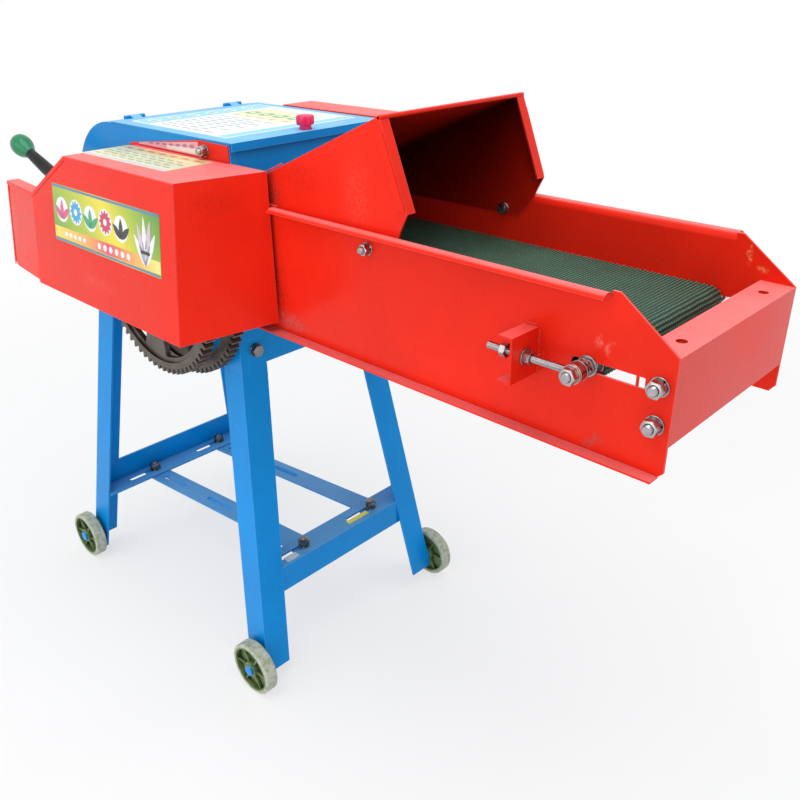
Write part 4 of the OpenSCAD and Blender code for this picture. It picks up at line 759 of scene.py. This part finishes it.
class SHREDDER_OT_stage(bpy.types.Operator):
    """Make the pale floor, the soft lamps and the camera"""

    bl_idname = "shredder.stage"
    bl_label = "Stage"

    def execute(self, context):
        scene = context.scene
        scene.view_settings.view_transform = "Standard"
        bm = bmesh.new()
        bmesh.ops.create_grid(bm, x_segments=2, y_segments=2, size=30)
        floor = new_object("floor", mesh_from("floor", bm), None, None)
        floor.location.z = -0.0005
        s = Shader("floor_paper")
        paper = s.ramp(s.noise(3.0, 2.0), (0.3, (0.82, 0.82, 0.82)), (0.8, (0.86, 0.86, 0.86)))
        floor.data.materials.append(s.finish(paper, 0.9))
        # Seen by the camera and in reflections, the floor turns to plain white away from the machine's shadow
        away = s.maths("MULTIPLY", s.watched(), s.steps(s.length(s.place()), 0.9, 2.6, 0.62, 1.0))
        white = s.add("ShaderNodeEmission", Strength=1.0).outputs[0]
        blend = s.add("ShaderNodeMixShader", None, away, s.surface.outputs[0], white)
        s.link(blend.outputs[0], s.output.inputs["Surface"])

        scene.world = bpy.data.worlds.new("studio")
        w = Nodes(scene.world)
        light = w.add("ShaderNodeBackground", Color=(0.93, 0.96, 1.0), Strength=0.70).outputs[0]
        white = w.add("ShaderNodeBackground", Color=(1, 1, 1), Strength=1.0).outputs[0]
        sky = w.add("ShaderNodeMixShader", None, w.watched(), light, white).outputs[0]
        w.add("ShaderNodeOutputWorld", Surface=sky)

        def lamp(name, place, target, size, power, colour=(1, 1, 1)):
            data = bpy.data.lights.new(name, "AREA")
            data.shape = "RECTANGLE"
            data.size, data.size_y = size
            data.energy = power
            data.color = colour
            obj = bpy.data.objects.new(name, data)
            scene.collection.objects.link(obj)
            obj.location = place
            obj.rotation_euler = (Vector(target) - Vector(place)).to_track_quat("-Z", "Y").to_euler()

        lamp("overhead", (0.5, -0.3, 3.2), (0.1, 0.0, 0.7), (3.0, 2.4), 54)
        lamp("gear_side", (-0.6, -3.0, 1.8), (0.1, -0.1, 0.6), (2.4, 1.6), 16, (1.0, 0.98, 0.95))
        lamp("table_end", (2.1, -2.9, 1.9), (0.2, 0.0, 0.55), (1.2, 1.2), 14, (0.97, 0.98, 1.0))
        lamp("low_fill", (-0.1, -2.4, 0.35), (-0.25, -0.15, 0.58), (1.6, 0.5), 7, (1.0, 0.99, 0.97))

        camera = bpy.data.cameras.new("camera")
        eye = bpy.data.objects.new("camera", camera)
        scene.collection.objects.link(eye)
        scene.camera = eye
        camera.sensor_width = 36
        camera.lens = 37.949
        camera.clip_start = 0.05
        camera.clip_end = 100
        yaw, pitch, roll = (math.radians(a) for a in (44.094, 26.529, -0.774))
        turn = Matrix.Rotation(yaw, 4, "Z") @ Matrix.Rotation(math.pi / 2 - pitch, 4, "X")
        place = Matrix.Translation(at(1130.45, -765.33, 1011.65))
        eye.matrix_world = place @ turn @ Matrix.Rotation(roll, 4, "Z")
        return {"FINISHED"}


class SHREDDER_OT_sheets(bpy.types.Operator):
    """Round the edges of the painted sheet and angle parts, and paint them"""

    bl_idname = "shredder.sheets"
    bl_label = "Painted sheets"

    def execute(self, context):
        for finish_name, slot, nodes in SHEETS:
            for node in nodes:
                dressed(node, finish(finish_name))
        return {"FINISHED"}


def red_piece(name, bm, finish_name, angle=35.0):
    return new_object(name, mesh_from(name, bm, angle), "frame", finish(finish_name))


class SHREDDER_OT_seams(bpy.types.Operator):
    """Fold the hems and lips of the covers and hood, and lay the weld beads"""

    bl_idname = "shredder.seams"
    bl_label = "Hems and welds"

    def execute(self, context):
        self.cover_lip()
        self.hood_hems()
        self.beads()
        return {"FINISHED"}

    def cover_lip(self):
        """The top sheet's edge is folded down over the cover's face, and spot-welded."""
        def face(x, z):
            return (x, face_y(z) + WING_TURN * max(0.0, WING_RIGHT - x) + 0.05, z)

        outline = [(-239.2, 737.0), (-128.0, 737.0), (-20.0, 800.6), (251.0, 800.6)]
        inner = [(-239.2, 731.6), (-126.4, 731.6), (-18.5, 795.2), (251.2, 795.2)]
        bm = bmesh.new()
        strip(bm, [face(*p) for p in outline], [face(*p) for p in inner], (0, -1, 0.0), 1.3)
        for edge, within in (
            ([(250.8, 794.5), (254.6, 604.0)], [(246.8, 794.5), (250.6, 604.0)]),
            ([(-239.3, 730.8), (-239.3, 606.0)], [(-234.8, 730.8), (-234.8, 606.0)]),
        ):
            strip(bm, [face(*p) for p in edge], [face(*p) for p in within], (0, -1, 0.0), 0.9)
        rounded(red_piece("cover_lip", bm, "red_enamel_cover"), 0.0005)
        bm = bmesh.new()
        for x, z in ((-205, 734.3), (-158, 734.3), (-76, 764.8), *((x, 797.9) for x in (20, 82, 144, 212))):
            spot = frame_at(at(*face(x, z)), (0, -1, 0.1))
            ring(bm, spot, [(0, 0.0016), (0.0011, 0.0015), (0.0017, 0.0008), (0.0018, 0)], 16)
        red_piece("cover_spots", bm, "red_enamel", 60)

    def hood_hems(self):
        """The hood's front edges are folded back over its sides, and its top edge is rolled."""
        nose, crown = Vector((508, 0, 783)), Vector((468, 0, 882))
        along = (crown - nose).normalized()
        inward = Vector((-along.z, 0, along.x))
        bm = bmesh.new()
        for y, out in ((-108.5, -1), (147.5, 1)):
            corner = nose + Vector((0, y, 0))
            a = [corner + along * t + inward * 0.6 for t in (3, 30, 60, 90)]
            b = [corner + along * t + inward * w for t, w in ((7, 11), (30, 11.5), (60, 11.5), (87, 11))]
            strip(bm, a, b, (0, out, 0), 2.2)
        rounded(red_piece("hood_hems", bm, "red_enamel_hood"), 0.0009, 3)
        bm = bmesh.new()
        roll = frame_at(at(467.6, -108.5, 880.6), (0, 1, 0))
        ring(bm, roll, [(0, 0), (0.0020, 0), (0.0027, 0.0008), (0.0027, 0.2552), (0.0020, 0.256), (0, 0.256)], 20)
        red_piece("hood_roll", bm, "red_enamel_hood")

    def beads(self):
        """Weld beads at the take-up brackets, the end box and the hood's seat."""
        bm = bmesh.new()
        runs = []
        for y in (NEAR_SIDE - 0.4, FAR_SIDE + 0.4):
            runs += [
                ((690.2, y, 655), (690.2, y, 701), 2.0), ((673, y, 704), (688, y, 704), 1.9),
                ((673, y, 652.4), (688, y, 652.4), 1.7),
            ]
        for box_y, hood_y in ((-107.9, -108.7), (146.9, 147.7)):
            runs += [((799, box_y, 630), (799, box_y, 694), 1.6), ((214, hood_y, 776), (300, hood_y, 812), 1.2)]
        for seed, (start, end, radius) in enumerate(runs):
            bead(bm, at(*start), at(*end), radius / 1000, 40 + seed)
        red_piece("weld_beads", bm, "red_enamel", 70)


class SHREDDER_OT_castings(bpy.types.Operator):
    """Give gears, rollers, bearings and shafts their cast and turned finishes"""

    bl_idname = "shredder.castings"
    bl_label = "Castings and shafts"

    def execute(self, context):
        for node in CASTINGS:
            dressed(node, finish("dark_iron"), 0.0004)
        for node in TURNED:
            dressed(node, finish("shaft_steel"), 0.0003)
        return {"FINISHED"}


class SHREDDER_OT_fasteners(bpy.types.Operator):
    """Build the threaded bolts, nuts and washers"""

    bl_idname = "shredder.fasteners"
    bl_label = "Fasteners"

    def execute(self, context):
        turns = random.Random(5)
        for node, fixings in self.places().items():
            bm = bmesh.new()
            for place, direction, size, grip, style in fixings:
                bolt_set(bm, at(*place), direction, size / 1000, grip / 1000, style, turns.uniform(0, math.pi / 3))
            self.gather(node, bm)
        self.take_up()
        bm = bmesh.new()
        thread(bm, frame_at(at(195, BODY_Y, 816), (0, 0, 1)), 0.004, 0.022, sizes().thread_pitch)
        self.gather("lid_screw", bm)
        return {"FINISHED"}

    def gather(self, node, bm):
        material = finish("dull_zinc" if node == "stand_bolts" else "bright_zinc")
        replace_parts(new_object(node + "_threaded", mesh_from(node, bm, 40), body_of(node), material), node)

    def places(self):
        """Each fixing: place, outward direction, size, grip, and what shows outside."""
        stand, casing, table = [], [], []
        for sx in (1, -1):
            for sy in (1, -1):
                stand.append(((205 * sx, 107 * sy, 538), (sx, 0, 0), 10, 7, "head"))
                stand.append(((178 * sx, 134 * sy, 556), (0, sy, 0), 10, 7, "dome"))
        for y in (-66, 87):
            stand.append(((-229.4, y, 143), (0, 0, 1), 10, 6, "nut"))
            stand.append(((229.4, y, 185), (0, 0, 1), 10, 6, "nut"))
        casing.append(((153, -119, 812), (0, -1, 0), 8, 8, "nut"))
        for x, z in ((170, 720), (186, 616)):
            casing += [((x, -117, z), (0, -1, 0), 8, 8.5, "head"), ((x, 156, z), (0, 1, 0), 8, 8.5, "head")]
        casing += [((x, -122, 690.7), (0, -1, 0), 8, 11, "screw") for x in (-165.84, -131.06)]
        for x, z, size in ((823, 680, 10), (823, 641, 10), (448, 735, 8), (232, 735, 8)):
            table += [((x, y, z), (0, s, 0), size, 5, "nut") for y, s in ((NEAR_SIDE, -1), (FAR_SIDE, 1))]
        return {"stand_bolts": stand, "casing_bolts": casing, "table_bolts": table}

    def take_up(self):
        """The tail roller's axle with its nuts, and the threaded rods that pull it."""
        pitch = sizes().thread_pitch
        axle, rods, shims = bmesh.new(), bmesh.new(), bmesh.new()
        x, z = TAIL_AXIS
        ring(axle, frame_at(at(x, -114, z), (0, 1, 0)), [(0, 0), (0.005, 0), (0.005, 0.267), (0, 0.267)])
        for side in (-1, 1):
            def off(distance):
                """A frame outwards from the table's side, at a distance from its face."""
                return frame_at(at(x, BODY_Y + side * (FAR_SIDE - BODY_Y + distance), z), (0, side, 0))

            thread(axle, off(3), 0.005, 0.0365, pitch)
            for place, outer in ((0.2, 0.011), (14.6, 0.0105), (-4.7, 0.009)):
                washer(axle, off(place), 0.0053, outer, 0.002)
            for place in (2.2, 29.0):
                hexagon(axle, off(place), 0.016, 0.008, bore=0.0049)
            spring_washer(shims, off(12.2), 0.0053, 0.0085, 0.0022)
            washer(shims, off(27.0), 0.0053, 0.010, 0.0019)
            y = BODY_Y + side * 152.5
            washer(rods, frame_at(at(x, y - 5, z), (0, 1, 0)), 0.0051, 0.010, 0.010, 0.0008)

            def on_rod(x):
                return frame_at(at(x, y, z), (1, 0, 0))

            thread(rods, on_rod(644), 0.004, 0.095, 0.00125)
            washer(shims, on_rod(689.6), 0.0043, 0.009, 0.0019)
            for place, turn in ((691.6, 0.3), (662, 0.1)):
                hexagon(rods, on_rod(place), 0.014, 0.007, bore=0.0039, turn=turn)
        self.gather("tension_axle", axle)
        self.gather("tension_rods", rods)
        new_object("take_up_shims", mesh_from("take_up_shims", shims, 40), "take_up", finish("yellow_zinc"))


class SHREDDER_OT_wheels(bpy.types.Operator):
    """Colour the four small wheels, tread and disc"""

    bl_idname = "shredder.wheels"
    bl_label = "Wheels"

    def execute(self, context):
        for node in ("wheel_front_near", "wheel_front_far", "wheel_rear_near", "wheel_rear_far"):
            low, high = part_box(node)
            plastic = finish_of(node + "_plastic", wheel_plastic, "wheel_olive", tuple((low + high) / 2))
            dressed(node, plastic, 0.0006)
        return {"FINISHED"}


class SHREDDER_OT_belt(bpy.types.Operator):
    """Build the ribbed feed belt round its two rollers"""

    bl_idname = "shredder.belt"
    bl_label = "Feed belt"

    def execute(self, context):
        low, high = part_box("feed_belt")
        thick, height = 0.0030, sizes().rib_height
        (drive_x, drive_z), (tail_x, tail_z) = DRIVE_AXIS, TAIL_AXIS
        total, point = self.line(at(drive_x, 0, drive_z), 0.022, at(tail_x, 0, tail_z), 0.014)
        ribs = round(total / sizes().rib_pitch)
        pitch = total / ribs
        nub_pitch = (high.y - low.y) / 50
        around, across = ribs * 4, 200
        bm = bmesh.new()
        layer = bm.verts.layers.float.new("rib")
        rows = []
        for i in range(around):
            travelled = total * i / around
            x, z, ox, oz = point(travelled)
            row = []
            for j in range(across + 1):
                y = low.y + (high.y - low.y) * j / across
                wave = travelled / pitch + 0.035 * math.sin(2 * math.pi * y / 0.043 + 1.7 * math.sin(i / 41))
                shift = 0.5 * (round(wave) % 2)
                ridge = 0.5 + 0.5 * math.cos(2 * math.pi * wave)
                nub = 0.5 + 0.5 * math.cos(2 * math.pi * (y / nub_pitch + shift))
                level = ridge ** 0.8 * (0.34 + 0.66 * min(1.0, 1.35 * nub))
                lift = thick - height + height * level
                row.append(bm.verts.new((x + ox * lift, y, z + oz * lift)))
                row[-1][layer] = level
            # The smooth inner face closes the section, just off the rollers
            row += [bm.verts.new((x + ox * 0.0003, y, z + oz * 0.0003)) for y in (high.y, low.y)]
            rows.append(row)
        bridge(bm, rows + rows[:1])
        mesh = mesh_from("ribbed_belt", bm, 60.0)
        belt = new_object("ribbed_belt", mesh, None, finish("belt_rubber"))
        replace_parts(belt, "feed_belt")
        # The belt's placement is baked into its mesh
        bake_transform(belt)
        return {"FINISHED"}

    def line(self, head, head_r, tail, tail_r):
        """The belt's inner line round two rollers: its length, and the place and outward direction at a distance."""
        dx, dz = tail.x - head.x, tail.z - head.z
        span, slope = math.hypot(dx, dz), math.atan2(dz, dx)
        cone = math.asin((head_r - tail_r) / span)
        top, bottom = slope + math.pi / 2 - cone, slope - math.pi / 2 + cone
        run = span * math.cos(cone)
        tail_arc, head_arc = tail_r * (top - bottom), head_r * (2 * math.pi - top + bottom)
        total = tail_arc + head_arc + 2 * run

        def on(middle, radius, angle):
            c, s = math.cos(angle), math.sin(angle)
            return middle.x + radius * c, middle.z + radius * s, c, s

        def between(a, b, t):
            return a[0] + (b[0] - a[0]) * t, a[1] + (b[1] - a[1]) * t, a[2], a[3]

        def point(distance):
            if distance < tail_arc:
                return on(tail, tail_r, bottom + distance / tail_r)
            distance -= tail_arc
            if distance < run:
                return between(on(tail, tail_r, top), on(head, head_r, top), distance / run)
            distance -= run
            if distance < head_arc:
                return on(head, head_r, top + distance / head_r)
            distance -= head_arc
            return between(on(head, head_r, bottom), on(tail, tail_r, bottom), distance / run)

        return total, point


class SHREDDER_OT_lever(bpy.types.Operator):
    """Finish the shift lever, its bracket and ball, and the lid's knob"""

    bl_idname = "shredder.lever"
    bl_label = "Lever and knob"

    def execute(self, context):
        black = finish("lever_black")
        dressed("shift_lever", black, 0.0005)
        dressed("lever_bracket", black, 0.0006)
        # The lever leans back from its pivot; distances run along it from the pivot
        lean = math.radians(19.9)
        pivot = frame_at(at(-127.84, -175, 720.7), (-math.cos(lean), 0, math.sin(lean)))

        def on_lever(name, profile, material, around, angle):
            bm = bmesh.new()
            ring(bm, pivot, [(r / 1000, h / 1000) for r, h in profile], around)
            return new_object(name, mesh_from(name, bm, angle), "lever", material)

        egg = [
            (0, 138.5), (7.6, 138.5), (8.6, 139.2), (9.6, 143), (11.6, 148), (14.0, 153), (15.8, 158), (16.8, 163),
            (17.1, 168), (16.6, 173), (15.1, 178), (12.4, 182), (8.6, 184.8), (4.4, 186), (0, 186.3),
        ]
        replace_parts(on_lever("lever_ball_egg", egg, finish("ball_plastic"), 48, 50), "lever_ball")
        sleeve = [
            (6.4, 52), (10.2, 52), (10.9, 53), (11.0, 58), (10.2, 62), (10.0, 90), (9.0, 120), (8.4, 136), (8.0, 138),
            (6.4, 138), (6.4, 52),
        ]
        on_lever("lever_sleeve", sleeve, black, 40, 40)
        self.knob()
        return {"FINISHED"}

    def knob(self):
        """The lid's star knob: six soft lobes on a collar."""
        low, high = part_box("lid_knob")
        middle = Matrix.Translation(((low.x + high.x) / 2, (low.y + high.y) / 2, low.z + 0.0002))
        wide, tall = (high.x - low.x) / 2 * 0.90, (high.z - low.z) * 0.92
        bm = bmesh.new()
        collar = [(wide * 0.66, 0), (wide * 0.70, 0.0006), (wide * 0.62, tall * 0.34)]
        ring(bm, middle, [(0.0042, 0), *collar, (0.0042, tall * 0.36)], 48)
        star = [
            (0, 0.30), (0.86, 0.30), (0.95, 0.34), (1.0, 0.42), (1.0, 0.82), (0.96, 0.91), (0.86, 0.965), (0.60, 1.0),
            (0.52, 0.985), (0, 0.975),
        ]
        ring(bm, middle, [(r * wide, h * tall) for r, h in star], 72, lobes=6)
        pink, mesh = finish("knob_plastic"), mesh_from("lid_knob_star", bm, 50)
        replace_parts(new_object("lid_knob_star", mesh, body_of("lid_knob"), pink), "lid_knob")


def arc(cu, cv, radius, angles):
    return [(cu + radius * math.cos(a), cv + radius * math.sin(a)) for a in angles]


def disc(cu, cv, radius):
    return arc(cu, cv, radius, circle(32))


def rectangle(u0, v0, u1, v1, radius=0.0):
    if not radius:
        return [(u0, v0), (u1, v0), (u1, v1), (u0, v1)]
    points = []
    low_u, high_u, low_v, high_v = u0 + radius, u1 - radius, v0 + radius, v1 - radius
    for cu, cv, first in ((high_u, low_v, -90), (high_u, high_v, 0), (low_u, high_v, 90), (low_u, low_v, 180)):
        points += arc(cu, cv, radius, [math.radians(first + 15 * i) for i in range(7)])
    return points


def leaf(cu, cv, length, width, angle, count=14):
    """A pointed leaf outline."""
    def side(t):
        return width * math.sin(math.pi * t) ** 0.8 * (1 - 0.3 * t)

    shares = [i / count for i in range(count)]
    points = [(length * t, side(t)) for t in shares] + [(length, 0.0)]
    points += [(length * t, -side(t)) for t in shares[:0:-1]]
    c, s = math.cos(math.radians(angle)), math.sin(math.radians(angle))
    return [(cu + u * c - v * s, cv + u * s + v * c) for u, v in points]


def toothed(cu, cv, outer, inner, teeth):
    """A gear-wheel outline."""
    points = []
    for k in range(teeth):
        for share, radius in ((-0.30, inner), (-0.17, outer), (0.17, outer), (0.30, inner)):
            points += arc(cu, cv, radius, [2 * math.pi * (k + share) / teeth])
    return points


class Sticker:
    """A printed sticker: shapes of flat inks on a plane, gathered into one object for each ink."""

    def __init__(self, name, origin, across, upward, body):
        self.name, self.body, self.origin = name, body, Vector(origin)
        self.across, self.upward = Vector(across).normalized(), Vector(upward).normalized()
        self.normal = self.across.cross(self.upward).normalized()
        self.inks = {}

    def put(self, ink, points, layer):
        """A thin printed shape, lifted by its layer."""
        bm = self.inks.setdefault(ink, bmesh.new())
        lift = sizes().label_lift + layer * 0.00012
        thick = 0.0001 if layer else sizes().label_lift
        flat = [self.origin + self.across * (u / 1000) + self.upward * (v / 1000) for u, v in points]
        bridge(bm, [[bm.verts.new(q + self.normal * h) for q in flat] for h in (lift - thick, lift)], capped=True)

    def make(self, **films):
        """Makes the objects; films are the inks that aren't plain."""
        for ink, bm in self.inks.items():
            name = f"{self.name}_{ink}"
            film = films.get(ink) or finish_of("ink_" + ink, printed_film, INKS[ink])
            new_object(name, mesh_from(name, bm), self.body, film)


class SHREDDER_OT_labels(bpy.types.Operator):
    """Lay generic printed stickers on the gear cover and the lid"""

    bl_idname = "shredder.labels"
    bl_label = "Stickers"

    def execute(self, context):
        self.cover_face()
        self.cover_top()
        self.lid_top()
        self.upstand()
        self.bar_marks()
        return {"FINISHED"}

    def upstand(self):
        """A faded strip on the cover's upstand, just above its top."""
        sticker = Sticker("upstand_sticker", at(0, -119, 802), (1, 0, 0), (0, 0, 1), "frame")
        sticker.put("shell", [(-14, 1.2), (137, 1.2), (137, 19.5), (-14, 3.2)], 0)
        sticker.put("chalk", [(60, 3.0), (130, 3.0), (130, 9.5), (60, 7.5)], 1)
        for k in range(7):
            sticker.put("plum", leaf(14 + 17 * k, 5 + 1.1 * k, 13, 1.3 + 0.25 * k, 6), 2)
        sticker.make()

    def bar_marks(self):
        """A yellow strip and a small plain plate on the flange of the front cross bar."""
        for name, x, y, wide, high, ink in (
            ("bar_strip", 232, 26, 9, 46, "yellow"), ("bar_plate", 233, -112, 13, 24, "pale"),
        ):
            sticker = Sticker(name, at(x, y, 185), (1, 0, 0), (0, 1, 0), "frame")
            sticker.put(ink, rectangle(0, 0, wide, high, 1.2), 0)
            sticker.make()

    def cover_face(self):
        lean = Vector((0, FACE_LEAN, 1)).normalized()
        low = 681.0
        sticker = Sticker("face_sticker", at(-60.5, face_y(low), low), (1, 0, 0), lean, "frame")
        wide, high = 279.0, 80.0
        sticker.put("ground", rectangle(0, 0, wide, high, 2), 0)
        sticker.put("border", rectangle(1, 0.8, wide - 1, 4.0), 1)
        sticker.put("border", rectangle(1, high - 4.2, wide - 1, high - 0.8), 1)
        sticker.put("band", rectangle(1, 5, wide - 1, 21), 1)
        # A row of five round badges: leaves and gear wheels by turns
        for k, ink in enumerate(("rose", "sky", "leafgreen", "crimson", "charcoal")):
            cu, cv = 26 + 40 * k, 46 + 2 * (k % 2)
            sticker.put("white", disc(cu, cv, 17.5), 1)
            if k % 2 == 0:
                for angle in (40, 90, 140):
                    sticker.put(ink, leaf(cu, cv - 13, 27, 5.6, angle), 2)
            else:
                sticker.put(ink, toothed(cu, cv, 15.5, 12.2, 12), 2)
                sticker.put("white", disc(cu, cv, 4.6), 3)
        # A pale sheaf of grass at the right end
        for k, (angle, length) in enumerate(((62, 52), (78, 62), (92, 64), (108, 56), (124, 46))):
            sticker.put("lilac" if k % 2 else "white", leaf(244, 8, length, 6.2, angle), 2)
        sticker.put("charcoal", rectangle(233, 24, 255, 28.5, 2), 3)
        # Small plain marks along the lower band
        for k in range(5):
            sticker.put("white", rectangle(30 + 13 * k, 10, 38 + 13 * k, 16, 2.6), 2)
        for k in range(6):
            sticker.put("white", disc(127 + 15 * k, 13, 4.4), 2)
        x = sticker.origin.x
        sticker.make(
            ground=finish_of(
                "face_ground", blended_film, (1, 0, 0.9), x + 0.62, x + 0.95,
                (0.0, (0.10, 0.34, 0.03)), (0.35, (0.42, 0.50, 0.02)), (0.58, (0.80, 0.66, 0.03)),
                (0.80, (0.32, 0.46, 0.03)), (1.0, (0.07, 0.28, 0.03))),
            band=finish_of(
                "face_band", blended_film, (1, 0, 0), x, x + wide / 1000,
                (0.0, (0.85, 0.66, 0.10)), (0.35, (0.85, 0.36, 0.08)), (0.55, (0.72, 0.05, 0.10)),
                (0.85, (0.85, 0.46, 0.08)), (1.0, (0.88, 0.76, 0.25))),
        )

    def cover_top(self):
        sticker = Sticker("top_sticker", at(-24, -205, 801), (1, 0.02, 0), (-0.02, 1, 0), "frame")
        wide, high = 205.0, 74.0
        sticker.put("cream", rectangle(0, 0, wide, high, 3), 0)
        sticker.put("straw", rectangle(3, high - 16, wide - 3, high - 4), 1)
        sticker.put("cloud", rectangle(3, 3, wide - 3, 9), 1)
        for row in range(4):
            for k in range(9 - row % 2):
                u, v = 10 + 21 * k + 6 * (row % 2), 15 + 10 * row
                sticker.put("olive", rectangle(u, v, u + 14, v + 3, 1.2), 1)
        for k in range(7):
            sticker.put("brick", leaf(14 + 27 * k, high - 10, 17, 3.2, 0), 2)
        sticker.make()

    def lid_top(self):
        sticker = Sticker("lid_sticker", at(-66, -98, 827), (1, 0, 0), (0, 1, 0), "lid")
        wide, high = 238.0, 236.0
        sticker.put("paper", rectangle(0, 0, wide, high, 4), 0)
        sticker.put("cyan", rectangle(4, 4, 44, high - 4), 1)
        sticker.put("cyan", rectangle(wide - 22, 4, wide - 4, high - 4), 1)
        for k in range(6):
            sticker.put("paper", disc(24, 26 + 34 * k, 10), 2)
            sticker.put("moss", leaf(24, 17 + 34 * k, 18, 4.2, 90), 3)
        for row in range(9):
            for k in range(5 - row % 2):
                sticker.put("smoke", rectangle(58 + 27 * k, 14 + 13 * row, 78 + 27 * k, 18 + 13 * row, 1.6), 1)
        sticker.put("butter", rectangle(54, 134, 200, 206, 5), 1)
        for k in range(4):
            sticker.put("moss", toothed(74 + 34 * k, 170, 14, 11, 12), 2)
            sticker.put("butter", disc(74 + 34 * k, 170, 5), 3)
        for k in range(5):
            sticker.put("coral", leaf(60 + 29 * k, 142, 20, 3.4, 0), 2)
        sticker.make()


class SHREDDER_PT_panel(bpy.types.Panel):
    """Lists the steps that dress the shredder"""

    bl_label = "Shredder"
    bl_idname = "SHREDDER_PT_panel"
    bl_space_type = "VIEW_3D"
    bl_region_type = "UI"
    bl_category = "Shredder"

    def draw(self, context):
        for group in (context.scene.shredder_paints, context.scene.shredder_sizes):
            for key in group.bl_rna.properties.keys():
                if key not in ("rna_type", "name"):
                    self.layout.prop(group, key)
        for step in STEPS:
            self.layout.operator(step.bl_idname)


STEPS = (
    SHREDDER_OT_stage, SHREDDER_OT_sheets, SHREDDER_OT_seams, SHREDDER_OT_castings, SHREDDER_OT_fasteners,
    SHREDDER_OT_wheels, SHREDDER_OT_belt, SHREDDER_OT_lever, SHREDDER_OT_labels,
)
CLASSES = (ShredderPaints, ShredderSizes, *STEPS, SHREDDER_PT_panel)


def register():
    for cls in CLASSES:
        bpy.utils.register_class(cls)
    bpy.types.Scene.shredder_paints = bpy.props.PointerProperty(type=ShredderPaints)
    bpy.types.Scene.shredder_sizes = bpy.props.PointerProperty(type=ShredderSizes)


def unregister():
    del bpy.types.Scene.shredder_sizes
    del bpy.types.Scene.shredder_paints
    for cls in reversed(CLASSES):
        bpy.utils.unregister_class(cls)


def main():
    register()
    for step in STEPS:
        group, action = step.bl_idname.split(".")
        getattr(getattr(bpy.ops, group), action)()


if __name__ == "__main__":
    main()
